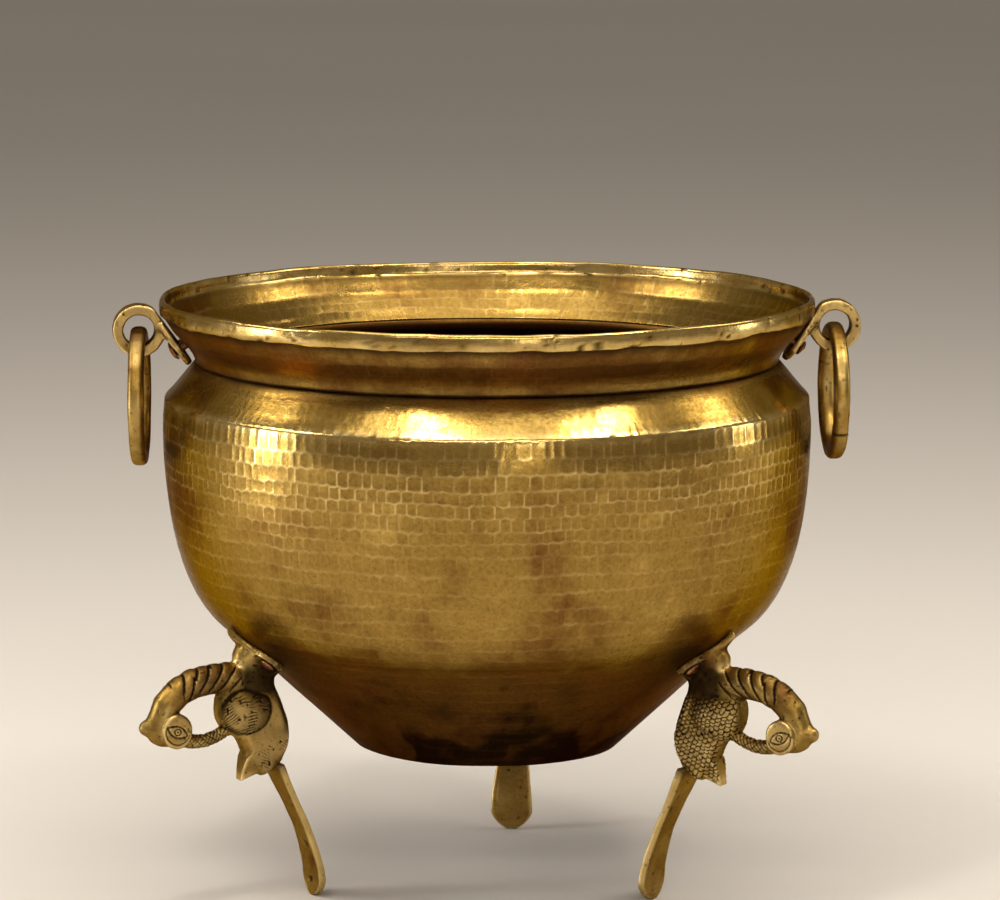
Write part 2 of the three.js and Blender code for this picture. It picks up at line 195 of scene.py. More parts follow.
def isosurface(field, low, step):
    """Quads on the zero surface of distances sampled on a grid, its inside negative."""
    inside = field < 0
    shape = np.array(field.shape)
    corners = [(i, j, k) for i in (0, 1) for j in (0, 1) for k in (0, 1)]
    edges = [
        (a, b)
        for a in corners
        for b in corners
        if sum(b) - sum(a) == 1 and all(np.subtract(b, a) >= 0)
    ]
    count = sum(
        inside[tuple(slice(c, size - 1 + c) for c, size in zip(corner, shape))].astype(np.int8)
        for corner in corners
    )
    cells = np.argwhere((count > 0) & (count < 8))
    numbers = np.full(shape - 1, -1)
    numbers[tuple(cells.T)] = np.arange(len(cells))
    total = np.zeros((len(cells), 3))
    hits = np.zeros(len(cells))
    for a, b in edges:
        at_a = field[tuple((cells + a).T)]
        at_b = field[tuple((cells + b).T)]
        crossed = (at_a < 0) != (at_b < 0)
        share = np.where(crossed, at_a / np.where(crossed, at_a - at_b, 1), 0)
        place = np.array(a) + share[:, None] * np.subtract(b, a)
        total += place * crossed[:, None]
        hits += crossed
    points = (cells + total / hits[:, None]) * step + low
    faces = []
    for axis in range(3):
        one, two = (axis + 1) % 3, (axis + 2) % 3
        start = [slice(1, n - 1) for n in shape]
        start[axis] = slice(0, shape[axis] - 1)
        after = list(start)
        after[axis] = slice(1, shape[axis])
        here, there = inside[tuple(start)], inside[tuple(after)]
        for entering, order in ((here & ~there, (0, 1, 2, 3)), (~here & there, (3, 2, 1, 0))):
            at = np.argwhere(entering)
            at = at + np.array([s.start for s in start])
            around = []
            for step_one, step_two in ((-1, -1), (0, -1), (0, 0), (-1, 0)):
                cell = at.copy()
                cell[:, one] += step_one
                cell[:, two] += step_two
                around.append(numbers[tuple(cell.T)])
            faces.append(np.stack([around[i] for i in order], axis=1))
    return points, np.concatenate(faces)


# ---- Distances to simple forms, negative inside ----------------------------------------------

FAR = 1e9

def blended(a, b, width):
    """The union of two forms, with a fillet."""
    share = np.clip(0.5 + 0.5 * (b - a) / width, 0, 1)
    return b + (a - b) * share - width * share * (1 - share)


def to_ellipsoid(p, centre, size):
    """Distance to an ellipsoid whose centre, by its radius and height, is in the leg's plane."""
    size = np.array(size)
    q = (p - (centre[0], 0, centre[1])) / size
    k0 = np.linalg.norm(q, axis=-1)
    k1 = np.linalg.norm(q / size, axis=-1)
    return k0 * (k0 - 1) / np.maximum(k1, 1e-9)


def to_path(p, path, radii):
    """Distance to a bent rod of changing radius."""
    best = np.full(p.shape[:-1], FAR)
    for a, b, ra, rb in zip(path, path[1:], radii, radii[1:]):
        line = b - a
        t = np.clip((p - a) @ line / np.linalg.norm(line) ** 2, 0, 1)
        away = np.linalg.norm(p - a - t[..., None] * line, axis=-1) - (ra + (rb - ra) * t)
        best = np.minimum(best, away)
    return best


def to_outline(x, y, corners):
    """Distance in a plane to a closed outline."""
    corners = np.asarray(corners, float)
    best = np.full(x.shape, FAR**2)
    sign = np.ones(x.shape)
    for (ax, ay), (bx, by) in zip(corners, np.roll(corners, 1, axis=0)):
        ex, ey = bx - ax, by - ay
        wx, wy = x - ax, y - ay
        t = np.clip((wx * ex + wy * ey) / (ex * ex + ey * ey), 0, 1)
        best = np.minimum(best, (wx - ex * t) ** 2 + (wy - ey * t) ** 2)
        above, below = y >= ay, y < by
        turn = ex * wy > ey * wx
        flip = (above & below & turn) | (~above & ~below & ~turn)
        sign = np.where(flip, -sign, sign)
    return sign * np.sqrt(best)


def curve_between(a, b, c, d, t):
    """Points from b, where t is 0, to c, where it is 1, on a smooth curve through all four."""
    return 0.5 * (
        2 * b + (c - a) * t + (2 * a - 5 * b + 4 * c - d) * t**2 + (3 * b - a - 3 * c + d) * t**3
    )


def smooth_outline(points, each):
    """A closed curve through points, with this many steps from each to the next."""
    p = np.asarray(points, float)
    t = (np.arange(each) / each)[None, :, None]
    neighbours = (np.roll(p, shift, 0)[:, None, :] for shift in (1, 0, -1, -2))
    return curve_between(*neighbours, t).reshape(-1, 2)


# ---- Outlines of the pot: distance from its axis, height --------------------------------------

BASE = (77.7, 82.0)
CONE_TOP = (152.0, 151.5)
BELLY_HANDLES = ((175.0, 168.0), (188.0, 203.0))
BELLY_TOP = (188.5, 272.0)
CREASE = (187.2, 286.0)
MOUTH = (169.6, 307.0)
LIP_RADIUS, LIP_Z = 166.4, 310.6
WALL = 2.2
COLLAR_FOOT = ((169.4, 307.4), (169.8, 310.0))
COLLAR_NECK = (172.6, 315.5)
COLLAR_FLARE = (182.0, 325.5)
HEM_FOOT = (188.4, 334.8)
HEM_RADIUS = 190.4
RIM_RADIUS = 190  # where the noise round the pot is read
HEM_SECTION = (  # out from the hem's radius, height
    (-1.9, 335.3), (-0.9, 335.1), (-0.35, 335.9), (-0.1, 337.4), (0.0, 339.0), (0.0, 340.6),
    (-0.1, 342.2), (-0.5, 343.5), (-1.1, 344.3), (-1.9, 344.7), (-2.7, 344.6), (-3.3, 343.9),
    (-3.7, 342.4), (-3.9, 340.4), (-4.1, 338.8), (-4.7, 337.7),
)
INNER_FLARE = ((185.1, 337.0), (180.1, 326.3), (170.6, 316.6), (167.8, 312.6), (165.8, 311.1))


def bezier(points, count):
    t = np.linspace(0, 1, count)[:, None]
    a, b, c, d = (np.array(p) for p in points)
    return a * (1 - t) ** 3 + 3 * b * t * (1 - t) ** 2 + 3 * c * t * t * (1 - t) + d * t**3


class Outline:
    """An outline of [radius, height] points by the distance along it, its corners eased."""

    STEP = 0.25

    def __init__(self, points, rounding):
        points = np.asarray(points, float)
        lengths = np.r_[0, np.cumsum(np.linalg.norm(np.diff(points, axis=0), axis=1))]
        self.length = lengths[-1]
        self.along = np.linspace(0, self.length, int(self.length / self.STEP) + 2)
        fine = np.stack([np.interp(self.along, lengths, points[:, i]) for i in (0, 1)], axis=1)
        reach = max(int(rounding / self.STEP / 2), 1)
        kernel = np.hanning(2 * reach + 3)[1:-1]
        first = 2 * fine[0] - fine[reach:0:-1]
        last = 2 * fine[-1] - fine[-2 : -reach - 2 : -1]
        padded = np.concatenate([first, fine, last])
        eased = [np.convolve(padded[:, i], kernel / kernel.sum(), "valid") for i in (0, 1)]
        self.points = np.stack(eased, axis=1)
        slope = np.gradient(self.points, axis=0)
        slope /= np.linalg.norm(slope, axis=1, keepdims=True)
        self.normals = np.stack([slope[:, 1], -slope[:, 0]], axis=1)

    def at(self, distance, raised=0.0):
        """Radius and height at distances along the outline, raised off it by so much."""
        table = np.hstack([self.points, self.normals])
        r, z, out, up = (np.interp(distance, self.along, table[:, i]) for i in range(4))
        return r + out * raised, z + up * raised


def round_axis(angle, radius, height):
    """Points round an axis, in whatever unit they come in, one to a row."""
    circle = [np.cos(angle) * radius, np.sin(angle) * radius, height + 0 * angle]
    return np.stack(circle, axis=-1).reshape(-1, 3)


def turned(angle, radius, height):
    """Points in metres around the pot's axis."""
    x = radius * MM * np.cos(angle)
    y = AXIS_Y + radius * MM * np.sin(angle)
    return np.stack([x + 0 * height, y + 0 * height, height * MM + 0 * x], axis=-1)


# ---- Hammer marks ----------------------------------------------------------------------------

class Hammered:
    """Courses of shallow hammer marks round a turned outline, with a raised ridge between
    neighbours. Courses are staggered, and the lower edge of each mark sags into a U."""

    ACROSS = (0.0, 0.13, 0.5, 0.87)  # columns in one mark's width
    UP = (0.0, 0.14, 0.5, 0.86)  # rows in one mark's height

    def __init__(self, outline, marks, course, seed):
        self.outline, self.marks = outline, marks
        self.courses = max(int(round(outline.length / course)), 1)
        rng = np.random.default_rng(seed)
        heights = rng.uniform(0.74, 1.26, self.courses)
        self.edges = np.r_[0, np.cumsum(heights)] / heights.sum() * outline.length
        shape = (self.courses + 1, marks)
        self.seed = seed
        self.sideways = rng.uniform(-0.25, 0.25, shape)
        self.stagger = 0.5 * np.arange(self.courses + 1) + rng.uniform(-0.1, 0.1, self.courses + 1)
        self.upright = rng.uniform(0, 1, shape) * (rng.uniform(0, 1, shape) > 0.18)
        self.level = rng.uniform(0, 1, shape)
        self.tint = rng.uniform(-1, 1, shape)
        self.lean = rng.uniform(-1, 1, (2,) + shape)

    def edge(self, k, x, sag):
        """Distance along the outline of the edge under course k, at a place x round it."""
        k = np.clip(k, 0, self.courses)
        turn = x / self.marks * 2 * np.pi
        circle = round_axis(turn, 3, k * 0.45)
        wave = noise(circle, 0.8, self.seed + 5) * 2.0 + noise(circle, 0.2, self.seed + 6) * 0.7
        wave = wave.reshape(turn.shape)
        place = x - self.stagger[k]
        inside = place - np.floor(place)
        mark = np.floor(place).astype(int) % self.marks
        drop = (1 - (2 * inside - 1) ** 2) * (0.5 + 0.7 * self.level[k, mark])
        free = (k > 0) & (k < self.courses)
        return self.edges[k] + np.where(free, wave * 1.1 - drop * sag, 0)

    def build(self, upright, level, depth, lean, sag):
        """Points by row and column, the height of the metal's relief, and what colours it.
        upright, level, depth and lean say how strong the ridges, dishes and tilts are by
        the distance along the outline, and sag how far the marks' lower edges hang."""
        rows = [(k, v) for k in range(self.courses) for v in self.UP] + [(self.courses - 1, 1.0)]
        k, v = side_by_side(rows)
        # Each course starts half a mark on from the one below, so columns run straight up.
        per = len(self.ACROSS)
        column = np.arange(self.marks * per)[None, :] - k * (per // 2)
        inside = np.array(self.ACROSS)[column % per]
        own, beyond = column // per % self.marks, (column // per + 1) % self.marks
        shift = self.sideways[k, own] * (1 - inside) + self.sideways[k, beyond] * inside
        x = column // per + inside + self.stagger[k] + shift
        low, high = self.edge(k, x, sag), self.edge(k + 1, x, sag)
        distance = low + (high - low) * v
        middle = self.edges[k] * (1 - v) + self.edges[k + 1] * v
        turn = x / self.marks * 2 * np.pi
        circle = round_axis(turn, RIM_RADIUS, middle)
        patch = layered_noise(circle, 55, self.seed + 9, 2).reshape(x.shape)
        self.patch = patch
        u = 2 * inside - 1
        w = 2 * v - 1
        side = np.where(u < 0, self.upright[k, own], self.upright[k, beyond])
        amount = upright(middle)
        upright_here = amount * (0.3 + 0.9 * side) + patch * (0.3 + amount * 0.5)
        upright_here = np.clip(upright_here, 0.0, 1.2)
        above = np.floor(x - self.stagger[k + 1]).astype(int) % self.marks
        edge_level = np.where(w < 0, self.level[k, own], self.level[k + 1, above])
        amount = level(middle)
        level_here = amount * (0.35 + 0.9 * edge_level) + patch * (0.15 + amount * 0.4)
        level_here = np.clip(level_here, 0.02, 1.2)
        dish_u = 0.5 * u**2 + 0.5 * u**8
        dish_w = 0.5 * w**2 + 0.5 * w**8
        relief = depth(middle) * (upright_here * dish_u * (1 - 0.55 * dish_w) + level_here * dish_w)
        tilt = self.lean[0][k, own] * u + self.lean[1][k, own] * w
        relief += lean(middle) * tilt * (1 - u**2) * (1 - w**2)
        crest = np.maximum(upright_here * (np.abs(u) > 0.99), level_here * (np.abs(w) > 0.99))
        tint = self.tint[k, own] + 0 * x
        return turn, distance, relief, {"crest": crest.reshape(-1), "tint": tint.reshape(-1)}


# ---- Materials -------------------------------------------------------------------------------

class Nodes:
    """A material's node tree, with short ways to add to it."""

    def __init__(self, name):
        self.material = bpy.data.materials.new(name)
        self.material.use_nodes = True
        self.tree = self.material.node_tree
        self.tree.nodes.clear()
        self.shader = self.add("ShaderNodeBsdfPrincipled")
        out = self.add("ShaderNodeOutputMaterial")
        self.link(self.shader.outputs["BSDF"], out.inputs["Surface"])
        self.place = self.add("ShaderNodeTexCoord").outputs["Object"]

    def add(self, kind, **settings):
        node = self.tree.nodes.new(kind)
        for key, value in settings.items():
            setattr(node, key, value)
        return node

    def link(self, source, target):
        self.tree.links.new(source, target)

    def feed(self, socket, value):
        if isinstance(value, bpy.types.NodeSocket):
            self.link(value, socket)
        elif isinstance(value, tuple) and len(value) == 3 and socket.type == "RGBA":
            socket.default_value = (*value, 1)
        else:
            socket.default_value = value

    def math(self, operation, a, b=0.0, c=0.0, clamp=False):
        node = self.add("ShaderNodeMath", operation=operation, use_clamp=clamp)
        for socket, value in zip(node.inputs, (a, b, c)):
            self.feed(socket, value)
        return node.outputs[0]

    def noise(self, scale, detail=4.0, roughness=0.55, stretch=None, offset=0.0):
        place = self.place
        if stretch or offset:
            mapping = self.add("ShaderNodeMapping")
            self.link(place, mapping.inputs["Vector"])
            mapping.inputs["Scale"].default_value = stretch or (1, 1, 1)
            mapping.inputs["Location"].default_value = (offset, offset * 0.7, -offset)
            place = mapping.outputs[0]
        node = self.add("ShaderNodeTexNoise")
        self.link(place, node.inputs["Vector"])
        node.inputs["Scale"].default_value = scale
        node.inputs["Detail"].default_value = detail
        node.inputs["Roughness"].default_value = roughness
        return node.outputs["Fac"]

    def ramp(self, value, *stops):
        """A smooth colour or grey ramp through (position, colour or number) stops."""
        node = self.add("ShaderNodeValToRGB")
        node.color_ramp.interpolation = "EASE"
        elements = node.color_ramp.elements
        while len(elements) < len(stops):
            elements.new(0.5)
        for element, (position, colour) in zip(elements, stops):
            element.position = position
            colour = colour if isinstance(colour, tuple) else (colour,) * 3
            element.color = (*colour, 1)
        self.feed(node.inputs["Fac"], value)
        return node.outputs["Color"]

    def mix(self, factor, a, b, blend="MIX"):
        node = self.add("ShaderNodeMix", data_type="RGBA", blend_type=blend, clamp_factor=True)
        self.feed(node.inputs[0], factor)
        self.feed(node.inputs[6], a)
        self.feed(node.inputs[7], b)
        return node.outputs[2]

    def attribute(self, name):
        return self.add("ShaderNodeAttribute", attribute_name=name).outputs["Fac"]

    def spread(self, value, low, high, to_low=0.0, to_high=1.0):
        node = self.add("ShaderNodeMapRange", interpolation_type="SMOOTHSTEP")
        for socket, v in zip(node.inputs, (value, low, high, to_low, to_high)):
            self.feed(socket, v)
        return node.outputs[0]

    def bump(self, height, strength, distance, after=None):
        node = self.add("ShaderNodeBump")
        node.inputs["Strength"].default_value = strength
        node.inputs["Distance"].default_value = distance
        self.link(height, node.inputs["Height"])
        if after:
            self.link(after, node.inputs["Normal"])
        return node.outputs[0]

    def finish(self, colour, roughness, *bumps):
        self.feed(self.shader.inputs["Base Color"], colour)
        self.feed(self.shader.inputs["Roughness"], roughness)
        self.shader.inputs["Metallic"].default_value = 1.0
        self.shader.inputs["Specular Tint"].default_value = EDGE_TINT
        normal = None
        for height, strength, distance in bumps:
            normal = self.bump(height, strength, distance, normal)
        if normal:
            self.link(normal, self.shader.inputs["Normal"])
        return self.material


BRIGHT = (0.82, 0.615, 0.26)
GOLD = (0.50, 0.33, 0.085)
OLD_GOLD = (0.30, 0.185, 0.042)
UMBER = (0.15, 0.07, 0.016)
RUSSET = (0.18, 0.07, 0.021)
BLACK_BROWN = (0.022, 0.013, 0.006)
COPPER_RED = (0.62, 0.3, 0.16)
COPPER_BROWN = (0.42, 0.17, 0.08)
COPPER_DARK = (0.12, 0.05, 0.03)
EDGE_TINT = (0.46, 0.37, 0.27, 1)  # at a glancing angle


def hammered_brass(name):
    """Satin brass under a brown patina, deepened by painted shade and thinned by painted light
    where a piece asks, bright on its ridges from wear and a painted highlight, and dark in its
    seams.
    """
    n = Nodes(name)
    broad = n.noise(9, 3, 0.5)
    blotch = n.noise(34, 5, 0.62, offset=3.1)
    speck = n.noise(420, 3, 0.7, offset=1.7)
    streak = n.noise(60, 4, 0.6, stretch=(1, 1, 3.2), offset=7.7)
    patina = n.math("MULTIPLY_ADD", broad, 0.42, n.math("MULTIPLY_ADD", blotch, 0.42, 0.08))
    patina = n.math("ADD", patina, n.math("MULTIPLY", n.attribute("tint"), 0.018))
    # The age attribute deepens or thins the patina; on the bowl it carries painted shade low on the
    # cone and painted light on the shoulder.
    patina = n.math("ADD", patina, n.math("SUBTRACT", n.attribute("age_and_shade"), 0.5))
    colour = n.ramp(patina, (0.28, GOLD), (0.46, OLD_GOLD), (0.64, UMBER), (0.9, BLACK_BROWN))
    red = n.spread(n.noise(17, 4, 0.6, offset=11.3), 0.52, 0.68, 0.0, 0.5)
    colour = n.mix(n.math("MULTIPLY", red, n.spread(patina, 0.45, 0.66)), colour, RUSSET)
    colour = n.mix(n.spread(speck, 0.35, 0.75, 0.0, 0.34), colour, UMBER, "MULTIPLY")
    # Ridges lightened: wear, and on the bowl's shoulder and crease a painted highlight.
    crest = n.math("MULTIPLY", n.attribute("crest"), n.spread(streak, 0.3, 0.62, 0.2, 1.0))
    colour = n.mix(n.math("MULTIPLY", crest, 0.7, clamp=True), colour, BRIGHT)
    grime_and_shade = n.attribute("grime_and_shade")
    colour = n.mix(grime_and_shade, colour, BLACK_BROWN)
    rough = n.spread(patina, 0.3, 0.8, 0.19, 0.46)
    rough = n.math("ADD", rough, n.math("MULTIPLY_ADD", speck, 0.16, -0.08))
    rough = n.math("SUBTRACT", rough, n.math("MULTIPLY", crest, 0.05))
    rough = n.math("ADD", rough, n.math("MULTIPLY", grime_and_shade, 0.25))
    return n.finish(colour, rough, (streak, 0.12, 0.0006), (speck, 0.22, 0.0003))


def cast_brass(name, base, dark_share, rough_low=0.3):
    """Cast brass, rubbed bright on its high places and lightened by a painted highlight on the
    broad side faces of lugs and brackets, with dark grooves, pits and a fine grain.
    """
    n = Nodes(name)
    broad = n.noise(38, 4, 0.55, offset=2.0)
    grain = n.noise(700, 3, 0.7, offset=5.0)
    pits = n.noise(190, 4, 0.6, offset=9.0)
    patina = n.math("MULTIPLY_ADD", broad, 0.8, dark_share)
    colour = n.ramp(patina, (0.3, base), (0.46, OLD_GOLD), (0.62, UMBER))
    colour = n.mix(n.spread(grain, 0.4, 0.8, 0.0, 0.4), colour, UMBER, "MULTIPLY")
    colour = n.mix(n.spread(pits, 0.63, 0.7, 0.0, 0.8), colour, BLACK_BROWN)
    # The crest attribute lightens high places rubbed bright, and the broad side faces of lugs and
    # brackets with a painted highlight.
    wear_and_highlight = n.attribute("crest")
    colour = n.mix(n.math("MULTIPLY", wear_and_highlight, 0.7, clamp=True), colour, BRIGHT)
    grime_and_shade = n.attribute("grime_and_shade")
    colour = n.mix(grime_and_shade, colour, BLACK_BROWN)
    warm = n.attribute("warm")
    colour = n.mix(warm, colour, RUSSET)
    rough = n.spread(broad, 0.3, 0.7, rough_low, rough_low + 0.16)
    rough = n.math("ADD", rough, n.math("MULTIPLY", grime_and_shade, 0.3))
    rough = n.math("ADD", rough, n.math("MULTIPLY_ADD", grain, 0.14, -0.07))
    return n.finish(colour, rough, (pits, 0.25, 0.0005), (grain, 0.3, 0.00025))


def copper(name):
    """Copper, tarnished in patches."""
    n = Nodes(name)
    broad = n.noise(240, 4, 0.6)
    grain = n.noise(1500, 2, 0.6)
    colour = n.ramp(broad, (0.35, COPPER_RED), (0.55, COPPER_BROWN), (0.75, COPPER_DARK))
    # The grime attribute darkens round the rivets' rims, and on the lug rivets lays painted shade
    # over the whole head.
    colour = n.mix(n.attribute("grime_and_shade"), colour, BLACK_BROWN)
    rough = n.spread(broad, 0.3, 0.7, 0.28, 0.5)
    return n.finish(colour, rough, (broad, 0.3, 0.0004), (grain, 0.2, 0.0001))


# ---- Bowl and collar -------------------------------------------------------------------------

BOWL_MARKS, BOWL_COURSE = 176, 8.8
COLLAR_MARKS, FLARE_COURSE, INNER_COURSE = 128, 10.5, 8.0


def dents(points):
    """The slow unevenness of beaten sheet, in millimetres."""
    away = np.ones(len(points))
    for place in LEG_PLACES.values():
        x, y, z = place @ Vector((150, 0, 148))
        away *= smoothstep(0.02, 0.05, np.linalg.norm(points - (x, y, z), axis=1))
    slow = noise(points, 0.07, 41) * 0.5 + noise(points, 0.028, 42) * 0.28
    return slow * away


def bowl():
    belly = bezier((CONE_TOP, *BELLY_HANDLES, BELLY_TOP), 40)
    line = Outline([BASE, *belly, CREASE, MOUTH], 3.4)
    marks = Hammered(line, BOWL_MARKS, BOWL_COURSE, 7)

    def by_height(heights, values):
        """A strength by the distance along the outline, from its values at these heights."""
        return lambda distance: np.interp(line.at(distance)[1], heights, values)

    upright = by_height((82, 150, 200, 228, 248, 284, 289, 307),
                        (0.0, 0.03, 0.1, 0.25, 0.85, 1.0, 0.4, 0.3))
    level = by_height((82, 150, 170, 228, 284, 289, 307), (0.15, 0.3, 0.42, 0.5, 0.85, 0.4, 0.35))
    depth = by_height((82, 150, 240, 284, 290, 307), (0.08, 0.11, 0.14, 0.17, 0.1, 0.09))
    lean = by_height((82, 160, 240, 284, 307), (0.05, 0.06, 0.08, 0.1, 0.09))
    turn, distance, relief, looks = marks.build(upright, level, depth, lean, sag=1.2)
    radius, height = line.at(distance)
    crease = np.exp(-(((height - CREASE[1] - 0.5) / 2.3) ** 2))
    relief += crease * 0.3
    # The ridges' bright colour, part wear and part painted highlight, grows towards the shoulder,
    # and a painted highlight runs along the crease.
    bold = np.interp(height, (82, 150, 228, 250, 284, 289, 307),
                     (0.1, 0.3, 0.55, 0.9, 1, 0.3, 0.3))
    looks["crest"] = np.maximum(looks["crest"] * bold.reshape(-1), crease.reshape(-1) * 0.9)
    seam = smoothstep(303.5, 306.8, height)
    looks["grime_and_shade"] = (seam * 0.75 * (0.6 + 0.4 * np.clip(marks.patch * 2, -1, 1))).reshape(-1)
    rest = turned(turn, radius, height).reshape(-1, 3)
    # Painted shade and light: the patina is deepened down the cone in place of the dark reflection
    # and shade there, and thinned on the shoulder, under random tone and dark stains near the base.
    age_and_shade = np.interp(height, (82, 96, 140, 156, 175, 235, 280, 288, 302, 307),
                    (0.86, 0.76, 0.72, 0.57, 0.5, 0.5, 0.44, 0.4, 0.42, 0.6))
    age_and_shade = age_and_shade.reshape(-1) + layered_noise(rest, 0.06, 43, 2) * 0.1
    stain = smoothstep(0.05, 0.3, layered_noise(rest, 0.03, 44, 3))
    looks["age_and_shade"] = age_and_shade + stain * smoothstep(112, 90, height.reshape(-1)) * 0.3
    facets = noise(rest, 0.013, 45) * 0.14 * smoothstep(287, 291, height.reshape(-1))
    relief = relief.reshape(-1) + facets + dents(rest)
    relief *= 1 - seam.reshape(-1) * 0.6
    radius, height = line.at(distance, relief.reshape(radius.shape))
    rows, columns = radius.shape
    outside = turned(turn, radius, height).reshape(-1, 3)

    # Inside: the mouth's lip, then down the wall to the floor, with a quarter of the columns.
    per = len(Hammered.ACROSS)
    coarse = columns // per

    def coarse_turned(row, profile):
        """Points round the pot on a profile, under every mark's first column of a row."""
        r, z = side_by_side(profile)
        angle = np.broadcast_to(turn[row].reshape(coarse, per)[:, 0], (len(profile), coarse))
        return angle, turned(angle, r, z).reshape(-1, 3)

    within = LIP_RADIUS - WALL
    inner_profile = [
        (LIP_RADIUS, MOUTH[1]), (LIP_RADIUS, LIP_Z - 0.6), (LIP_RADIUS - 0.7, LIP_Z),
        (within + 0.5, LIP_Z), (within, LIP_Z - 0.6), (within, MOUTH[1] - 1.6),
        (MOUTH[0] - 1.6, MOUTH[1] - 3.6),
    ]
    inner_profile += zip(*line.at(np.linspace(line.length - 6, 3, 50), -WALL))
    inner_profile += [(BASE[0] * s, BASE[1] + WALL) for s in (0.9, 0.6, 0.3, 0.05)]
    angle, inner = coarse_turned(-1, inner_profile)
    wave = noise(inner, 0.02, 77) * 0.25 + dents(inner) * (inner[:, 2] < 0.303)
    inner += round_axis(angle, 1, 0) * (wave * MM)[:, None]
    under = [(BASE[0] * s, BASE[1]) for s in (0.97, 0.6, 0.3, 0.05)]
    below = coarse_turned(0, under)[1]

    points = np.concatenate([outside, inner, below])
    start = len(outside)
    low = start + len(inner)
    faces = [*grid_faces(rows, columns)]
    faces += [*grid_faces(len(inner_profile), coarse) + start]
    faces += [*(grid_faces(len(under), coarse) + low)[:, ::-1]]
    top = (rows - 1) * columns
    for i in range(coarse):
        beside = (i + 1) % coarse
        fan = [top + (i * per + j) % columns for j in range(per + 1)]
        faces.append([*fan, start + beside, start + i])
        fan = [(i * per + j) % columns for j in range(per, -1, -1)]
        faces.append([*fan, low + i, low + beside])
    faces.append([low - coarse + i for i in range(coarse)])
    faces.append(end_caps(len(points), coarse)[1][::-1])
    extra = len(points) - len(outside)
    looks = {key: np.r_[values, np.zeros(extra)] for key, values in looks.items()}
    # The inside is darker, more so further down.
    looks["grime_and_shade"][start:low] = smoothstep(0.306, 0.27, inner[:, 2]) * 0.5
    looks["age_and_shade"][start:] = 0.66
    return make_mesh("hammered_bowl", points, faces, looks)


def rim_noise(angle, lump, seed, lift=0.0):
    """Noise by the place round the rim, with lumps this many millimetres long."""
    return noise(round_axis(angle, RIM_RADIUS, lift), lump, seed).reshape(angle.shape)


def rim_wave(angle):
    """How the rim's top rises and falls, in millimetres."""
    return rim_noise(angle, 60, 31) * 0.7 + rim_noise(angle, 17, 32) * 0.3


def edge_wave(angle):
    """How the hem's lower edge rises and falls."""
    return rim_noise(angle, 22, 33) * 0.9 + rim_noise(angle, 7, 34) * 0.5


def seam_wave(angle):
    """How the seam between the bowl and the collar rises and falls."""
    return rim_noise(angle, 26, 35) * 0.5 + rim_noise(angle, 8, 36) * 0.35


def even_marks(outline, course, seed, strengths, sag):
    """Hammer marks whose ridges, dishes and tilts are as strong all along the outline."""
    marks = Hammered(outline, COLLAR_MARKS, course, seed)
    return marks.build(*(lambda d, s=s: s + 0 * d for s in strengths), sag=sag)


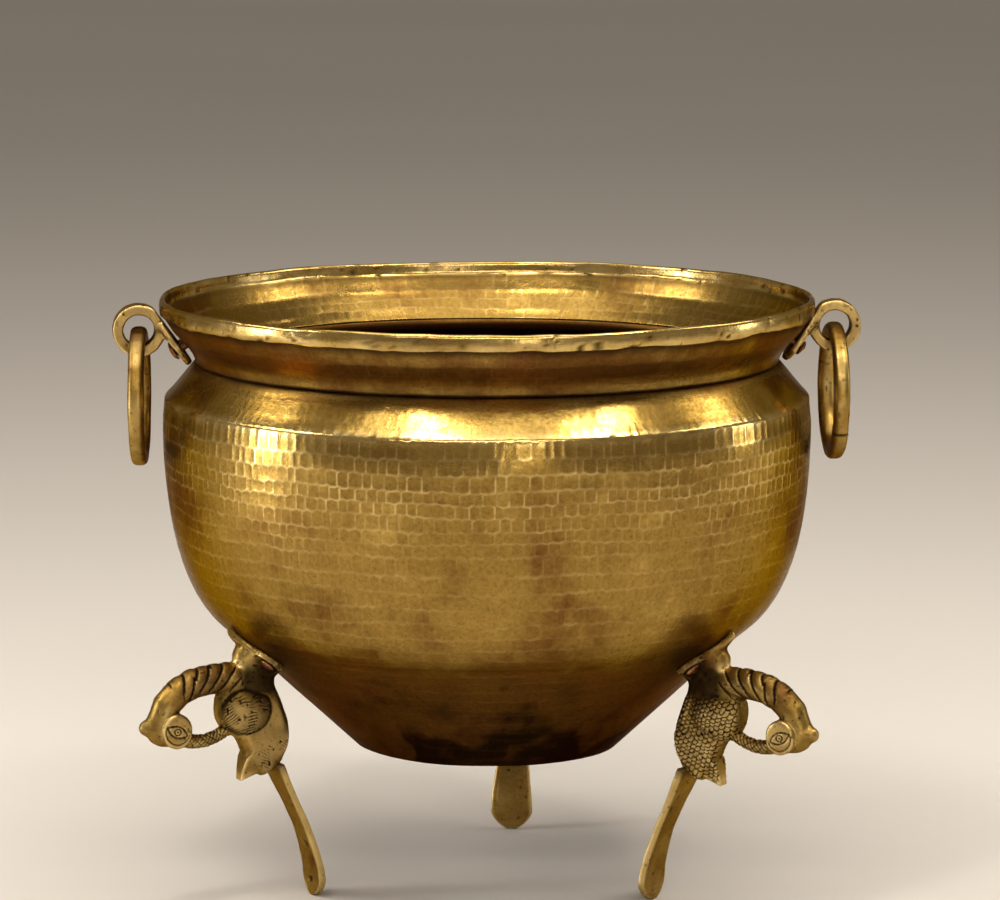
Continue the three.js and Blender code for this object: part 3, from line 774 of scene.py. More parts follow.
def collar():
    outer = Outline([*COLLAR_FOOT, COLLAR_NECK, COLLAR_FLARE, HEM_FOOT], 3.0)
    turn, distance, relief, looks = even_marks(outer, FLARE_COURSE, 17, (0.3, 0.3, 0.12, 0.2), 0.6)
    columns = turn.shape[1]
    strips = []

    def strip(*rows):
        shape = np.broadcast(*rows).shape
        strips.append([np.broadcast_to(row, shape) for row in rows])

    # The outer face of the flare, from its seam with the bowl to the dark groove under the hem.
    r, z = outer.at(distance, relief)
    z = z + smoothstep(6, 0, distance) * seam_wave(turn) * 0.8
    under_hem = smoothstep(outer.length - 9, outer.length, distance)
    r = r - under_hem * 0.6
    z = z + under_hem * (edge_wave(turn) - 0.4)
    groove = smoothstep(outer.length - 3.6, outer.length - 0.6, distance) * 0.85
    seam = smoothstep(2.6, 0.4, distance + seam_wave(turn)) * 0.9
    tint = looks["tint"].reshape(r.shape)
    # Darker at the seam and up the flare towards the hem, with random tone.
    age_and_shade = np.interp(distance, (0, 4, 9, 14, outer.length), (0.6, 0.5, 0.58, 0.66, 0.62))
    age_and_shade = age_and_shade + rim_noise(turn, 40, 55, distance) * 0.1
    strip(turn, r, z, looks["crest"].reshape(r.shape) * 0.2, tint, np.maximum(groove, seam), age_and_shade)

    # The rolled hem: an uneven lower edge, a worn face with pits, and a rounded top.
    section = np.array(HEM_SECTION)
    sr, sz = HEM_RADIUS + section[:, :1], section[:, 1:]
    angle = np.broadcast_to(turn[-1:], (len(section), columns))
    pits = rim_noise(angle, 3.4, 51, sz * 1.4) * 0.6 + rim_noise(angle, 1.5, 52, sz * 1.4) * 0.6
    pits = np.clip(pits - 0.42, 0, 1)
    wear_and_highlight = rim_noise(angle, 14, 53, sz)
    share = np.linspace(0, 1, len(section))[:, None]
    drop = edge_wave(angle) * np.clip(1 - share * 2.6, 0, 1) - 0.35
    drop = drop + rim_wave(angle) * smoothstep(0.25, 0.7, share)
    ripple = rim_noise(angle, 9, 54, sz) * 0.22
    strip(angle, sr - pits * 1.1 + ripple - 0.25, sz + drop, 0.55 + wear_and_highlight * 0.5 - pits * 2,
          wear_and_highlight * 0.5, np.clip(pits * 3.2, 0, 0.9), 0.42 + rim_noise(angle, 30, 56, sz) * 0.12)

    # The inner face, in courses of nearly square marks, with a step down to the bowl's lip.
    inner = Outline(INNER_FLARE, 3.0)
    turn_in, along, relief, looks = even_marks(
        inner, INNER_COURSE, 27, (0.5, 0.55, 0.14, 0.24), 0.4
    )
    turn_in = turn_in + angle[0, 0] - turn_in[0, 0]
    r, z = inner.at(along, relief)
    groove = np.exp(-(((along - 0.8) / 1.0) ** 2)) * 0.7
    z = z + rim_wave(turn_in) * smoothstep(8, 0, along) - 0.2
    tint = looks["tint"].reshape(r.shape)
    age_and_shade = 0.5 + rim_noise(turn_in, 45, 57, along) * 0.1
    strip(turn_in, r, z, looks["crest"].reshape(r.shape) * 0.5, tint, groove, age_and_shade)
    foot = np.array([(LIP_RADIUS + 0.4, LIP_Z + 0.4), (LIP_RADIUS + 0.4, MOUTH[1] + 0.5)])
    angle = np.broadcast_to(turn_in[-1:], (2, columns))
    strip(angle, foot[:, :1], foot[:, 1:], 0.0, 0.0, 0.6, 0.6)

    turn, r, z, crest, tint, grime_and_shade, age_and_shade = (np.concatenate([s[i] for s in strips]) for i in range(7))
    points = turned(turn, r, z).reshape(-1, 3)
    last = (len(turn) - 1) * columns
    drift = int(round((turn[-1, 0] - turn[0, 0]) / (2 * np.pi) * columns))
    j = np.arange(columns)
    closing = np.stack([last + j, last + (j + 1) % columns, (j + 1 + drift) % columns,
                        (j + drift) % columns], axis=1)
    faces = np.concatenate([grid_faces(len(turn), columns), closing])
    looks = {"crest": crest, "tint": tint, "grime_and_shade": grime_and_shade, "age_and_shade": age_and_shade}
    looks = {key: values.reshape(-1) for key, values in looks.items()}
    return make_mesh("flared_collar", points, faces, looks)


# ---- Rings, lugs and rivets ------------------------------------------------------------------

RING_RADIUS, BAR_RADIUS = 35.5, 5.0
RING_BUTTS = {"left": 95, "right": -34}  # degrees, where each ring's ends meet


def ring(side):
    """A bent bar, a little flattened and worn, whose ends meet in a butt joint."""
    joint = JOINTS["ring_swing_" + side]
    along, up = Vector(joint["axis"]), Vector((0, 0, 1))
    along.normalize()
    through = along.cross(up)
    centre = Vector(joint["pos_m"]) - up * RING_RADIUS * MM
    butt = math.radians(RING_BUTTS[side])
    rows, columns = 260, 36
    a = butt + np.arange(rows)[:, None] / rows * 2 * np.pi
    b = np.arange(columns)[None, :] / columns * 2 * np.pi
    from_joint = (np.minimum(a - butt, butt + 2 * np.pi - a)) * RING_RADIUS
    place = round_axis(a + 0 * b, 36 + BAR_RADIUS * np.cos(b), BAR_RADIUS * np.sin(b))
    wobble = layered_noise(place, 16, 61, 2).reshape(rows, columns) * 0.28
    grain = noise(place, 2.2, 64).reshape(rows, columns)
    pits = np.clip(grain - 0.55, 0, 1)
    notch = np.exp(-((from_joint / 0.55) ** 2))
    swell = np.exp(-((from_joint / 2.5) ** 2)) * 0.25
    squash = 1 - 0.05 * np.cos(4 * b)
    from_top = (a - np.pi / 2 + np.pi) % (2 * np.pi) - np.pi
    rest_wear = np.exp(-(from_top / 0.35) ** 2) * (np.cos(b) < 0) * 0.4
    bar = BAR_RADIUS * squash + wobble - pits * 0.6 - notch * 1.1 + swell - rest_wear - 0.15
    mean = RING_RADIUS + 0.35 * np.sign(a - butt - np.pi) * np.exp(-from_joint / 6)
    out = mean + bar * np.cos(b)
    amounts = ((out * np.cos(a), along), (out * np.sin(a), up), (bar * np.sin(b), through))
    shifts = (amount[..., None] * MM * np.array(axis) for amount, axis in amounts)
    points = sum(shifts, np.array(centre)).reshape(-1, 3)
    faces = grid_faces(rows, columns, closed_rows=True)
    low = smoothstep(-0.55, -0.95, np.sin(a)) * (0.5 + 0.5 * np.clip(wobble * 4, -1, 1))
    looks = {
        "crest": (np.clip(wobble * 2.2, 0, 0.8) + 0 * b).reshape(-1),
        "grime_and_shade": np.clip(notch * 1.2 + pits * 2 + 0 * b, 0, 1).reshape(-1),
        "warm": (low * 0.8 + 0 * b).reshape(-1),
    }
    return make_mesh("ring_" + side, points, faces, looks)


def relief_looks(points, faces, normals):
    """How far each point stands out of its surroundings, as wear, or lies in them, as grime."""
    bulge = np.einsum("ij,ij->i", points - relax(points, faces, 6), normals)
    wide = np.einsum("ij,ij->i", points - relax(points, faces, 30), normals)
    wear_and_highlight = smoothstep(0.06, 0.3, bulge) * 0.6 + smoothstep(0.15, 0.9, wide) * 0.5
    deep = smoothstep(0.05, 0.3, -bulge) * 0.7 + smoothstep(0.15, 0.8, -wide) * 0.6
    return np.clip(wear_and_highlight, 0, 1), np.clip(deep, 0, 1)


def sampled(low, high, step, form):
    """The surface of a form given by its distances, in a box."""
    low = np.asarray(low, float)
    size = np.ceil((np.asarray(high) - low) / step).astype(int) + 1
    axes = [low[i] + np.arange(size[i]) * step for i in range(3)]
    field = form(np.stack(np.meshgrid(*axes, indexing="ij"), axis=-1))
    points, faces = isosurface(field, low, step)
    # The steps of the sampling are eased away.
    normals = point_normals(points, faces)
    slip = relax(points, faces, 1) - points
    away = np.einsum("ij,ij->i", slip, normals)
    return points + slip - normals * (away * 0.5)[:, None], faces


def rounded(a, b, radius):
    """Where two forms overlap, the edge between them rounded."""
    q = np.stack([a + radius, b + radius])
    return np.linalg.norm(np.maximum(q, 0), axis=0) + np.minimum(q.max(axis=0), 0) - radius


LUG_EYE = (202.0, 327.0)
LUG_PLATE = (183.0, 324.8)
LUG_SLOPE = math.radians(36)
LUG_STEP, BRACKET_STEP = 0.6, 0.62  # of the grids that the castings are sampled on
LUG_EYE_RADIUS, LUG_EYE_HALF, LUG_EYE_HOLE = 12, (3, 7), 9.0
LUG_PLATE_HALF = 2.25
LUG_RIVETS, LUG_RIVET_DROP = (-8.5, 8.5), 9
RIVET_COLUMNS = 28


def leaf_outline():
    right = [(0.6, -20.5), (8.5, -18.2), (12.2, -13.0), (13, -7.0), (12.0, 0.5), (7.4, 8.4)]
    return [*right, *[(-x, y) for x, y in reversed(right)]]


def lug_form(p):
    r, t, z = p[..., 0], p[..., 1], p[..., 2]
    from_eye = np.hypot(r - LUG_EYE[0], z - LUG_EYE[1])
    thick, wide = LUG_EYE_HALF
    eye = rounded(np.abs(from_eye - LUG_EYE_RADIUS) - thick, np.abs(t) - wide, 1.1)
    cos, sin = math.cos(LUG_SLOPE), math.sin(LUG_SLOPE)
    out = (r - LUG_PLATE[0]) * cos - (z - LUG_PLATE[1]) * sin
    along = (r - LUG_PLATE[0]) * sin + (z - LUG_PLATE[1]) * cos
    leaf = to_outline(t, along, leaf_outline())
    face = np.abs(out - LUG_PLATE_HALF) - LUG_PLATE_HALF
    plate = rounded(leaf, face + 0.05 * np.maximum(leaf + 6, 0), 1.2)
    whole = blended(eye, plate, 3.0)
    whole = np.maximum(whole, LUG_EYE_HOLE - from_eye)
    return np.maximum(whole, 0.05 - out)


def lug(side):
    points, faces = sampled((168, -15, 303), (219, 15, 344), LUG_STEP, lug_form)
    normals = point_normals(points, faces)
    seed = 70 + HANDLES.index(side)
    rough = layered_noise(points, 5, seed, 3) * 0.28
    pits = np.clip(noise(points, 1.9, seed + 9) - 0.5, 0, 1)
    points = points + normals * (rough - pits * 0.9)[:, None]
    normals = point_normals(points, faces)
    wear_and_highlight, deep = relief_looks(points, faces, normals)
    # Painted highlight, partly wear: the broad side faces are lightened.
    face = smoothstep(6.2, 6.9, np.abs(points[:, 1])) * 0.45
    looks = {"crest": np.clip(wear_and_highlight + face - pits, 0, 1), "grime_and_shade": np.clip(deep + pits * 1.6, 0, 1),
             "warm": np.zeros(len(points))}
    return make_mesh("lug_" + side, moved(points, LUG_PLACES[side]), faces, looks)


def rivet(name, place, wall, plate, seed, shade=0.0):
    """A riveted-over pin: a flattened dome outside its plate, a head inside the wall. The place
    is a frame on the wall's outer face whose third axis points out of the wall."""
    outside, inside = plate + 0.7, -wall - 0.4
    profile = [
        (0.4, inside - 1.7), (2.2, inside - 1.55), (3.6, inside - 1.1), (4.4, inside - 0.45),
        (4.6, inside - 0.1), (4.4, inside), (2.4, inside), (2.4, outside), (4.5, outside),
        (4.65, outside + 0.3), (4.3, outside + 0.9), (3.4, outside + 1.5), (2.3, outside + 1.9),
        (1.2, outside + 2.05), (0.4, outside + 2.1),
    ]
    a = np.arange(RIVET_COLUMNS)[None, :] / RIVET_COLUMNS * 2 * np.pi
    r, z = side_by_side(profile)
    squeeze = 1 + 0.07 * np.cos(2 * a + seed)
    points = np.stack([r * squeeze * np.cos(a), r * np.sin(a), z + 0 * a], axis=-1).reshape(-1, 3)
    bumps = noise(points + seed * 13.0, 2.6, 81) * 0.3 + noise(points + seed * 7.0, 1.1, 82) * 0.12
    points[:, 2] += bumps * (np.abs(points[:, 2]) > abs(inside) - 0.2)
    low = smoothstep(3.9, 4.7, np.hypot(points[:, 0], points[:, 1]))
    # Dark round the dome's rim, and the whole head darkened by painted shade as much as shade asks.
    looks = {"grime_and_shade": np.maximum(low * 0.8, shade)}
    faces = [*grid_faces(len(profile), RIVET_COLUMNS), *end_caps(len(points), RIVET_COLUMNS)]
    return make_mesh(name, moved(points, place), faces, looks)


def wall_frame(radius, height, slope, azimuth):
    """A frame on a wall that faces out and down: across, up along the slope, and out of it."""
    cos, sin = math.cos(azimuth), math.sin(azimuth)
    out = Vector((math.cos(slope) * cos, math.cos(slope) * sin, -math.sin(slope)))
    across = Vector((-sin, cos, 0))
    turn = Matrix((across, out.cross(across), out)).transposed().to_4x4()
    return Matrix.Translation((radius * cos, radius * sin, height)) @ turn


def lug_rivet(side, number):
    place = wall_frame(*LUG_PLATE, LUG_SLOPE, 0.0)
    place = place @ Matrix.Translation((LUG_RIVETS[number], -LUG_RIVET_DROP, 0))
    name = f"lug_rivet_head_{side}_{number + 1}"
    place = LUG_PLACES[side] @ place
    # The lug's rivets get painted shade all over: they face downwards under the hem.
    return rivet(name, place, wall=5.2, plate=4.2, seed=number + 1.5, shade=0.6)


# ---- Legs ------------------------------------------------------------------------------------

PLATE_AT = (149.9, 149.5)
CONE_SLOPE = math.atan2(CONE_TOP[0] - BASE[0], CONE_TOP[1] - BASE[1])
JOINT_FROM, JOINT_TO = np.array((126.0, 87.5)), np.array((152.0, 71.0))

BODY_OUTLINE = (
    (136.5, 136), (138.6, 129), (134.6, 119), (130.8, 107), (130.0, 96), (132.4, 85.5),
    (138.2, 77), (146, 74), (152, 80), (156, 87), (160.5, 97), (168.5, 103), (172, 112),
    (172.4, 121), (168, 128), (162, 133), (160.5, 140), (150, 144),
)
TAIL_OUTLINE = (
    (135.6, 121), (132.2, 112), (130.6, 104), (130.5, 98), (131.6, 91.5), (134.3, 86),
    (138.4, 81.6), (143.6, 78.4), (150, 75.8), (156, 73.6), (159, 72.5), (159.6, 72.6),
    (159.3, 74), (158.4, 80), (156.8, 86), (153.8, 91), (156, 97), (152, 110), (146, 121),
)
NECK = np.array([(153.5, 144.5), (149.5, 136), (149, 128)])
NECK_RADII = (8.5, 8.6, 10)
HORN = np.array([
    (155, 131.5), (166, 132.8), (177, 133), (187, 131.4), (196, 127.2), (203.3, 120.3),
    (207.6, 111),
])
HORN_RADII = (8.8, 8.6, 8.3, 8.1, 7.9, 7.6, 7.0)
BEARD = np.array([(194, 99.5), (187, 97.8), (180, 97.6), (173, 99.6), (166, 103)])
BEARD_RADII = (4.6, 4.3, 4.0, 3.8, 3.6)
EYE, EYE_TILT = (200.4, 106.6), math.radians(-24)
CHEST, CHEST_SIZE = (156.3, 114.0), (17.2, 12.9, 16.0)
HEAD, HEAD_SIZE = (204.5, 107.0), (11.2, 9.2, 10.4)
NUB, NUB_SIZE = (214.8, 108.3), (5.0, 4.8, 4.6)
RIVET_SIDES, RIVET_DROP, RIVET_ASIDE = (-1, 1), 8, 13.4
RIVET_SEAT, RIVET_HOLE = 5.4, 2.7  # radii
SADDLE = (
    (0, 20), (4, 10.5), (10, 1.5), (15, -1.6), (20.3, -8.6), (20.8, -13.8), (14, -16.8),
    (6, -19.8), (-6, -19.8), (-14, -16.8), (-20.8, -13.8), (-20.3, -8.6), (-15, -1.6),
    (-10, 1.5), (-4, 10.5),
)


def in_plane(path):
    return np.stack([path[:, 0], 0 * path[:, 0], path[:, 1]], axis=1)


def above_joint(r, z):
    """Distance from the brazed joint, upwards into the bracket."""
    line = JOINT_TO - JOINT_FROM
    normal = np.array((-line[1], line[0])) / np.linalg.norm(line)
    return (r - JOINT_FROM[0]) * normal[0] + (z - JOINT_FROM[1]) * normal[1]


def off_bowl(p):
    """Distance out from the bowl's outer face, near the cone's top."""
    belly = bezier((CONE_TOP, *BELLY_HANDLES, BELLY_TOP), 30)
    line = np.concatenate([[BASE], belly])
    slope = np.gradient(line, axis=0)
    lean = slope[:, 1] / np.linalg.norm(slope, axis=1)
    around = np.hypot(p[..., 0], p[..., 1])
    radius = np.interp(p[..., 2], line[:, 1], line[:, 0])
    return (around - radius) * np.interp(p[..., 2], line[:, 1], lean)


def leg_rivet_frame(number):
    radius = PLATE_AT[0] - RIVET_DROP * math.sin(CONE_SLOPE)
    height = PLATE_AT[1] - RIVET_DROP * math.cos(CONE_SLOPE)
    return wall_frame(radius, height, CONE_SLOPE, RIVET_SIDES[number] * RIVET_ASIDE / radius)


def bracket_form(p):
    r, t, z = p[..., 0], p[..., 1], p[..., 2]
    flat_r, flat_z = r[:, 0], z[:, 0]
    body_2d, tail_2d = (
        to_outline(flat_r, flat_z, smooth_outline(outline, 4))[:, None, :] + 0 * t
        for outline in (BODY_OUTLINE, TAIL_OUTLINE)
    )
    body = rounded(body_2d, np.abs(t) - 6.2 - smoothstep(150, 126, z) * 1.5, 5.0)
    half = 4.6 + smoothstep(74, 90, z) * 3.8 - smoothstep(95, 117, z) * 5.8
    tail = rounded(tail_2d, np.abs(t) - half, 1.3)
    chest = to_ellipsoid(p, CHEST, CHEST_SIZE)
    horn = to_path(p, in_plane(HORN), HORN_RADII)
    head = to_ellipsoid(p, HEAD, HEAD_SIZE)
    from_eye = np.hypot(r - EYE[0], (z - EYE[1]) * 0.88)
    eye = rounded(from_eye - 8.9, np.abs(t) - 11.4 + 0.05 * from_eye, 1.4)
    nub = to_ellipsoid(p, NUB, NUB_SIZE)
    beard = to_path(p, in_plane(BEARD), BEARD_RADII)
    front = horn
    for form, width in ((head, 2.5), (nub, 2.0), (eye, 0.9), (beard, 1.2)):
        front = blended(front, form, width)
    whole = body
    for form, width in ((chest, 1.2), (tail, 1.5), (horn, 2.5), (front, 1.5)):
        whole = blended(whole, form, width)
    # The saddle plate lies on the bowl, its edges raised in a lip.
    off = off_bowl(p)
    cos, sin = math.cos(CONE_SLOPE), math.sin(CONE_SLOPE)
    up = (r - PLATE_AT[0]) * sin + (z - PLATE_AT[1]) * cos
    near = (off > -3) & (off < 9) & (z > 120)  # elsewhere the plate is too far to matter
    saddle = np.full(r.shape, 20.0)
    saddle[near] = to_outline(t[near], up[near], SADDLE)
    lip = np.exp(-(((saddle + 1.5) / 1.2) ** 2)) * 1.3
    plate = rounded(saddle, np.abs(off - 1.4) - 1.4 - lip, 0.8)
    whole = blended(whole, to_path(p, in_plane(NECK), NECK_RADII), 3.0)
    whole = blended(whole, plate, 3.4)
    whole = np.maximum(whole, 0.35 - off)
    whole = np.maximum(whole, 0.15 - above_joint(r, z))
    for number in (0, 1):
        frame_here = leg_rivet_frame(number)
        at, pin = frame_here.translation, frame_here.col[2].xyz
        away = p - np.array(at)
        drop = away @ np.array(pin)
        beside = np.linalg.norm(away - drop[..., None] * np.array(pin), axis=-1)
        # A flat seat for the rivet's head, and its hole.
        seat = np.maximum(beside - RIVET_SEAT, 3.6 - drop)
        cut = np.maximum(-seat, RIVET_HOLE - beside)
        whole = np.where(np.abs(drop) < 9, np.maximum(whole, cut), whole)
    return whole


def line_at(distance, width):
    """The depth, from 0 to 1, of an engraved line at this distance from its middle."""
    return np.exp(-((distance / width) ** 2))


def repeated(value, spacing):
    """Distance to the nearest of evenly spaced lines."""
    share = value / spacing
    return np.abs(share - np.round(share)) * spacing


def beside_path(p, path):
    """Distance along a path in the leg's plane, and how far outside its bend a point lies."""
    best = np.full(len(p), FAR)
    along, aside = np.zeros(len(p)), np.zeros(len(p))
    start = 0.0
    for a, b in zip(path, path[1:]):
        line = (b - a) / np.linalg.norm(b - a)
        away = p[:, (0, 2)] - a
        run = np.clip(away @ line, 0, np.linalg.norm(b - a))
        gap = np.linalg.norm(away - run[:, None] * line, axis=1)
        nearer = gap < best
        best = np.where(nearer, gap, best)
        along = np.where(nearer, start + run, along)
        aside = np.where(nearer, away[:, 1] * line[0] - away[:, 0] * line[1], aside)
        start += np.linalg.norm(b - a)
    return along, aside


def scales(u, v, width, height):
    """Rows of engraved U-shaped scales, each row half a scale beside the next."""
    row = np.floor(v / height)
    x = (u / width + 0.5 * (row % 2)) % 1 - 0.5
    y = v / height - row
    near = np.abs(np.hypot(x * width, (1 - y) * height) - width * 0.5)
    beyond = (u / width + 0.5 * ((row + 1) % 2)) % 1 - 0.5
    lower = np.abs(np.hypot(beyond * width, (2 - y) * height) - width * 0.5)
    return np.minimum(near, lower)


def engraving(points, leg):
    """How deep each point of a bracket is cut, in millimetres."""
    r, t, z = points.T
    horn_gap = np.abs(to_path(points, in_plane(HORN), HORN_RADII))
    along, aside = beside_path(points, HORN)
    on_horn = smoothstep(2.6, 1.0, horn_gap) * smoothstep(4, 8, along) * smoothstep(46, 40, along)
    on_horn = on_horn * smoothstep(-9, -4, aside)
    slant = along + 0.7 * aside + noise(points, 9, 91) * 0.5
    rib = repeated(slant, 7.0)
    cut = (line_at(rib, 0.6) * 1.0 + line_at(rib, 2.2) * 0.4 - 0.15) * on_horn
    # The eye: a ring round the disc, an almond, a round pupil.
    u, v = r - EYE[0], z - EYE[1]
    tilt = EYE_TILT
    x = u * math.cos(tilt) - v * math.sin(tilt) - 0.3
    y = u * math.sin(tilt) + v * math.cos(tilt) + 0.2
    from_eye = np.hypot(u, v)
    almond = np.maximum(np.hypot(x, y - 5.2), np.hypot(x, y + 5.2)) - 8.3
    pupil = np.hypot(x, y)
    eye = np.maximum.reduce([
        line_at(from_eye - 7.4, 0.42) * 0.7 * (y < 1.0),
        line_at(almond, 0.46),
        line_at(pupil - 1.9, 0.42),
        line_at(pupil, 0.7) * 0.9,
    ])
    cut += eye * 0.7 * smoothstep(9.3, 10.2, np.abs(t)) * (from_eye < 8.6)
    # The beard, braided.
    beard_gap = np.abs(to_path(points, in_plane(BEARD), BEARD_RADII))
    along, aside = beside_path(points, BEARD)
    on_beard = smoothstep(1.6, 0.6, beard_gap) * (along > 1.5)
    plait = np.minimum(repeated(along + 0.9 * aside, 2.5), repeated(along - 0.9 * aside + 1.2, 5.0))
    cut += line_at(plait, 0.36) * 0.5 * on_beard
    # The chest and the tail: strokes on the left leg, scales on the others.
    chest_gap = to_ellipsoid(points, CHEST, CHEST_SIZE)
    on_chest = smoothstep(1.6, 0.8, np.abs(chest_gap)) * smoothstep(3.5, 6, np.abs(t))
    wobble = noise(points, 6, 93) * 0.9
    su = (r - CHEST[0]) * 0.95 + (z - CHEST[1]) * 0.3 + wobble
    sv = (z - CHEST[1]) * 0.95 - (r - CHEST[0]) * 0.3 + wobble
    on_tail = smoothstep(93, 89, z + (r - 150) * 0.35) * (r < 156.5)
    on_tail = on_tail * smoothstep(3.5, 5.2, np.abs(t))
    if leg == "left":
        sparse = np.clip(noise(points, 5, 95) * 1.8 + 0.25, 0, 1)
        bend = (r - CHEST[0]) ** 2 * 0.03 + noise(points, 3, 96) * 0.7
        stroke = line_at(repeated(su * 0.45 + sv * 0.9 + bend, 1.9), 0.34)
        cut += stroke * 0.42 * np.maximum(on_chest, on_tail * 0.7) * sparse
        cut += line_at(chest_gap - 0.6, 0.7) * 0.4 * smoothstep(3.5, 6, np.abs(t))
        nicks = np.clip(noise(points, 2.2, 97) - 0.66, 0, 1)
        cut += nicks * 2.2 * np.maximum(on_chest, on_tail)
    else:
        covered = smoothstep(127, 122, z) * smoothstep(173, 170, r)
        covered = covered * smoothstep(3.2, 4.6, np.abs(t)) * (1 - on_beard)
        loose = noise(points, 4, 98) * 0.9
        cut += line_at(scales(su + loose, sv + loose, 3.5, 2.4), 0.38) * 0.6 * covered
    return cut


BRACKET_BASE = sampled((127, -23, 69), (221, 23, 174), BRACKET_STEP, bracket_form)


def leg_bracket(leg):
    points, faces = BRACKET_BASE
    normals = point_normals(points, faces)
    seed = 100 + 10 * LEGS.index(leg)
    free = smoothstep(0.5, 1.2, above_joint(points[:, 0], points[:, 2]))
    free = free * smoothstep(0.5, 1.0, off_bowl(points))
    rough = layered_noise(points, 7, seed, 3) * 0.3
    pits = np.clip(noise(points, 1.8, seed + 7) - 0.52, 0, 1)
    cut = engraving(points, leg)
    points = points + normals * ((rough - pits * 0.8 - cut) * free)[:, None]
    normals = point_normals(points, faces)
    wear_and_highlight, deep = relief_looks(points, faces, normals)
    r, t, z = points.T
    neck = smoothstep(121, 127, z) * smoothstep(146, 138, z) * smoothstep(164, 156, r)
    # Painted highlight, partly wear: the broad side faces of the chest, body and tail are
    # lightened.
    face = smoothstep(6.2, 8.5, np.abs(t)) * smoothstep(122, 116, z) * 0.45
    patch = layered_noise(points, 11, seed + 3, 3)
    grime_and_shade = deep * 0.9 + smoothstep(0.15, 0.5, cut) * 0.95 + pits * 1.5
    wear_and_highlight = np.clip(wear_and_highlight + face * (0.8 + patch), 0, 1)
    grime_and_shade += np.clip(neck * 0.8 + 0.2 + patch * 0.6, 0, 0.9) * (1 - wear_and_highlight * 0.8)
    grime_and_shade *= 1 - 0.75 * smoothstep(79, 74, z) * (r > 150)
    solder = line_at(np.hypot(r - 161, z - 141.5) - 1, 2.2) * 0.9
    wear_and_highlight = np.clip(wear_and_highlight * (1 - 0.8 * neck) + solder + 0.5 * smoothstep(80, 74, z) * (r > 150), 0, 1)
    looks = {"crest": wear_and_highlight, "grime_and_shade": np.clip(grime_and_shade * (1 - solder), 0, 1),
             "warm": np.zeros(len(points))}
    return make_mesh("horned_bracket_" + leg, moved(points, LEG_PLACES[leg]), faces, looks)


SPINE = np.array([
    (112.6, -2), (112.2, 10), (114, 22), (119.5, 40), (126.5, 56), (134, 72), (141, 90),
])
SPINE_WIDTHS = (10, 13.0, 12.2, 9.7, 10.3, 12.8, 13.6)
PLATE_HALF = 2.3
FOOT_ROUND = 11.0
SHANK_PITS = {  # across, height, size
    "left": ((3.5, 31, 2.3), (-1.5, 8.5, 2.6), (5, 55, 1.2)),
    "right": ((-4, 62, 1.4), (2, 20, 1.0)),
    "rear": ((3, 25, 1.6), (-3, 12, 1.2)),
}


def leg_shank(leg):
    """A flat bar with a spoon-shaped foot, cut flat at the floor and at the brazed joint."""
    fine = 240
    t = np.linspace(0, len(SPINE) - 1.0001, fine)
    ends = np.concatenate([[2 * SPINE[0] - SPINE[1]], SPINE, [2 * SPINE[-1] - SPINE[-2]]])
    k, f = t.astype(int), (t % 1)[:, None]
    a, b, c, d = ends[k], ends[k + 1], ends[k + 2], ends[np.minimum(k + 3, len(ends) - 1)]
    spine = curve_between(a, b, c, d, f)
    width = np.interp(t, np.arange(len(SPINE)), SPINE_WIDTHS)
    kernel = np.hanning(27)
    width = np.convolve(np.pad(width, 12, mode="edge"), kernel[1:-1] / kernel.sum(), "valid")
    along = np.gradient(spine, axis=0)
    along /= np.linalg.norm(along, axis=1, keepdims=True)
    columns, rows = 64, 170
    angle = np.arange(columns) / columns * 2 * np.pi
    out = PLATE_HALF * np.sign(np.cos(angle)) * np.abs(np.cos(angle)) ** 0.3
    across = np.sign(np.sin(angle)) * np.abs(np.sin(angle)) ** 0.62
    hollow = 1 - 0.16 * (np.abs(across) < 0.75)
    r = spine[:, :1] + out * hollow * along[:, 1:]
    z = spine[:, 1:] - out * hollow * along[:, :1]
    rounding = np.sqrt(1 - 0.96 * np.clip((FOOT_ROUND - spine[:, 1]) / FOOT_ROUND, 0, 1) ** 2)
    x = across[None, :] * (width * rounding)[:, None]
    grid = np.zeros((rows, columns, 3))
    steps = np.arange(fine)
    for j in range(columns):
        start = np.interp(0, z[:, j], steps)
        end = np.interp(0.15, above_joint(r[:, j], z[:, j]), steps)
        at = np.linspace(start, end, rows)
        for axis, values in enumerate((r, x, z)):
            grid[:, j, axis] = np.interp(at, steps, values[:, j])
    points = grid.reshape(-1, 3)
    faces = grid_faces(rows, columns)
    normals = point_normals(points, faces)
    seed = 130 + 10 * LEGS.index(leg)
    past_joint = above_joint(points[:, 0], points[:, 2])
    free = np.minimum(smoothstep(0, 3, points[:, 2]), smoothstep(0, -2, past_joint))
    rough = layered_noise(points, 12, seed, 3) * 0.3 + noise(points, 2.5, seed + 5) * 0.08
    pit = np.clip(noise(points, 1.7, seed + 6) - 0.6, 0, 1) * 1.2
    outward = smoothstep(0.2, 0.6, normals[:, 0])
    for place_t, place_z, size in SHANK_PITS[leg]:
        gap = np.hypot(points[:, 1] - place_t, (points[:, 2] - place_z) * 0.85)
        gap = gap + noise(points, 2.0, seed + 8) * 0.5
        pit += smoothstep(size, size * 0.4, gap) * outward
    points = points + normals * ((rough - pit * 0.8) * free)[:, None]
    edge = smoothstep(0.8, 0.97, np.abs(np.tile(across, rows)))
    patch = layered_noise(points, 14, seed + 2, 3)
    root = smoothstep(-7, 0, above_joint(points[:, 0], points[:, 2]))
    looks = {
        "crest": np.clip(edge * (0.75 + patch * 0.5), 0, 1),
        "grime_and_shade": np.clip(pit * 1.4 + root * 0.5 + patch * 0.25, 0, 0.95),
        "warm": np.clip(0.12 + patch * 0.2, 0, 0.4) * (1 - edge),
    }
    faces = [*faces, *end_caps(len(points), columns)]
    return make_mesh("shank_" + leg, moved(points, LEG_PLACES[leg]), faces, looks)


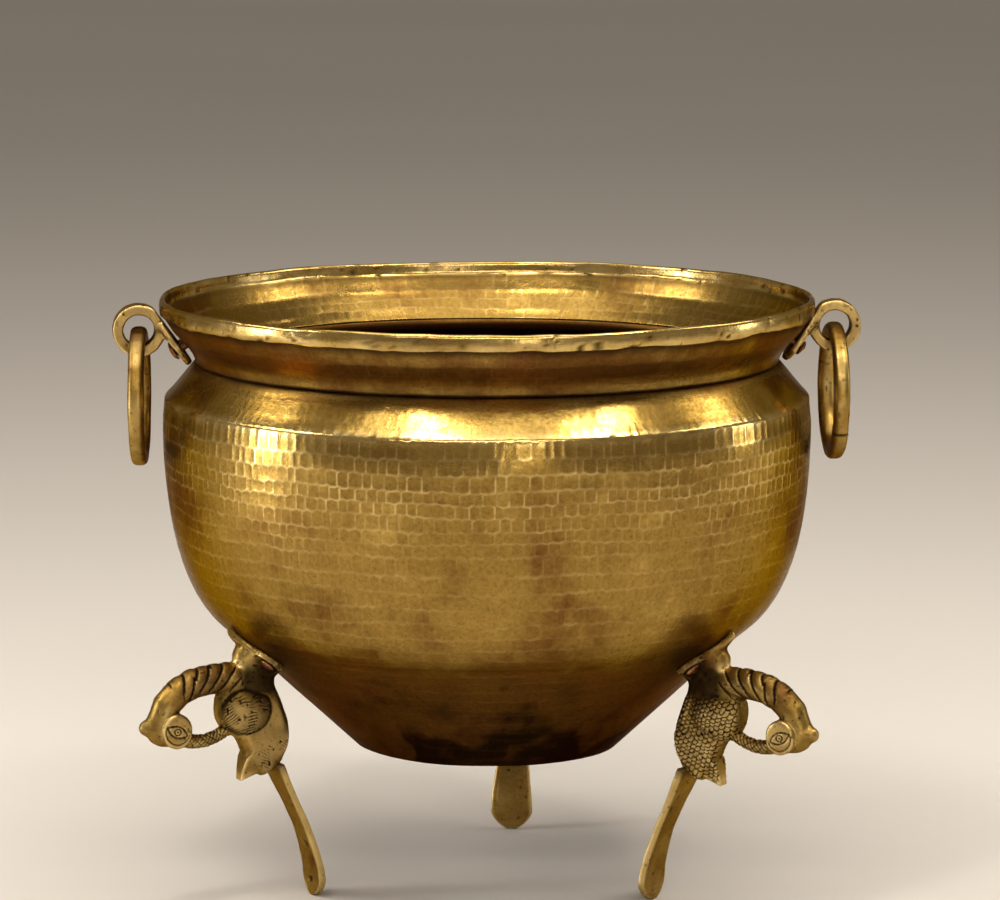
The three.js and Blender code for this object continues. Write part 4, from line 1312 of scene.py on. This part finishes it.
# ---- Assembly --------------------------------------------------------------------------------

HAMMERED = hammered_brass("hammered_brass")
CAST = cast_brass("cast_brass", (0.47, 0.325, 0.105), 0.06)
PALE = cast_brass("pale_brass", (0.40, 0.27, 0.082), 0.03, 0.38)
COPPER = copper("copper")


def place_piece(piece, material, body, node):
    piece.data.materials.append(material)
    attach(piece, body)
    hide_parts(node)


place_piece(bowl(), HAMMERED, "pot", "bowl")
place_piece(collar(), HAMMERED, "pot", "rim_collar")
for side in HANDLES:
    place_piece(lug(side), CAST, "pot", "handle_lug_" + side)
    place_piece(ring(side), CAST, "ring_" + side, "ring_handle_" + side)
    for number in (0, 1):
        node = f"lug_rivet_{side}_{number + 1}"
        place_piece(lug_rivet(side, number), COPPER, "pot", node)
for leg in LEGS:
    place_piece(leg_bracket(leg), CAST, "pot", "leg_bracket_" + leg)
    place_piece(leg_shank(leg), PALE, "pot", "leg_shank_" + leg)
    for number in (0, 1):
        place = LEG_PLACES[leg] @ leg_rivet_frame(number)
        name, seed = f"leg_rivet_head_{leg}_{number + 1}", number + LEGS.index(leg) * 2.3
        head = rivet(name, place, wall=WALL, plate=3.5, seed=seed)
        place_piece(head, COPPER, "pot", f"leg_rivet_{leg}_{number + 1}")

# ---- Floor, light and camera -----------------------------------------------------------------

FLOOR_HALF, FLOOR_Z = 14.0, -0.0004
MIDDLE = (0, AXIS_Y, 0.2)
WARM, COOL = (1.0, 0.93, 0.82), (0.95, 0.97, 1.0)
LIGHTS = (  # name, place, what it faces, size, power, colour
    ("overhead_left", (-0.40, -0.62, 1.72), (-0.03, -0.18, 0.29), (0.12, 0.4), 6, WARM),
    ("overhead_right", (0.80, -0.42, 1.66), (0.06, -0.18, 0.29), (0.12, 0.4), 6, WARM),
    ("overhead_wide", (0.0, -0.3, 3.0), MIDDLE, (3.2, 3.2), 66, WARM),
    ("front_strip", (0.0, -2.3, 1.75), MIDDLE, (2.6, 0.35), 20, WARM),
    ("side_left", (-1.35, -0.12, 1.3), (-1.2, -0.12, 0.0), (0.8, 0.4), 11, WARM),
    ("side_right", (1.35, 0.15, 1.3), (1.2, 0.15, 0.0), (0.8, 0.4), 8, WARM),
    ("window_left", (-1.9, -0.35, 0.40), MIDDLE, (0.4, 0.8), 14, COOL),
    ("window_right", (1.9, 0.22, 0.42), MIDDLE, (0.3, 0.6), 3, COOL),
    ("front_fill", (0.75, -2.9, 0.6), MIDDLE, (0.35, 1.2), 6, WARM),
)
SURROUNDINGS = ((0.02, (0.36, 0.30, 0.235, 1)), (0.4, (0.27, 0.24, 0.205, 1)))  # by height
CAMERA_AT = (0.0075, AXIS_Y - 2.45, 0.6235)
CAMERA_DOWN, CAMERA_LENS = 8.594, 152.72


def pale_floor():
    n = Nodes("pale_floor")
    colour = n.ramp(n.noise(0.4, 2), (0.3, (0.63, 0.60, 0.57)), (0.7, (0.65, 0.62, 0.585)))
    material = n.finish(colour, 0.75)
    n.shader.inputs["Metallic"].default_value = 0.0
    signs = ((-1, -1), (1, -1), (1, 1), (-1, 1))
    corners = [(x * FLOOR_HALF, y * FLOOR_HALF, FLOOR_Z) for x, y in signs]
    floor = make_mesh("floor", corners, [(0, 1, 2, 3)])
    floor.data.materials.append(material)


def soft_light(name, at, towards, size, power, colour):
    data = bpy.data.lights.new(name, "AREA")
    data.shape = "RECTANGLE"
    data.size, data.size_y = size
    data.energy = power
    data.color = colour
    lamp = linked(name, data)
    lamp.location = at
    lamp.rotation_euler = (Vector(towards) - Vector(at)).to_track_quat("-Z", "Y").to_euler()


def surroundings():
    world = bpy.data.worlds.new("studio")
    bpy.context.scene.world = world
    world.use_nodes = True
    nodes, link = world.node_tree.nodes, world.node_tree.links.new
    direction = nodes.new("ShaderNodeSeparateXYZ")
    link(nodes.new("ShaderNodeTexCoord").outputs["Generated"], direction.inputs[0])
    shade = nodes.new("ShaderNodeValToRGB")
    for element, (position, colour) in zip(shade.color_ramp.elements, SURROUNDINGS):
        element.position, element.color = position, colour
    link(direction.outputs["Z"], shade.inputs["Fac"])
    link(shade.outputs["Color"], nodes["Background"].inputs["Color"])


pale_floor()
for light in LIGHTS:
    soft_light(*light)
bpy.context.scene.view_settings.view_transform = "Standard"
surroundings()

camera_data = bpy.data.cameras.new("camera")
camera_data.sensor_width = 36
camera_data.lens = CAMERA_LENS
camera = linked("camera", camera_data)
camera.location = CAMERA_AT
camera.rotation_euler = (math.radians(90 - CAMERA_DOWN), 0, 0)
bpy.context.scene.camera = camera
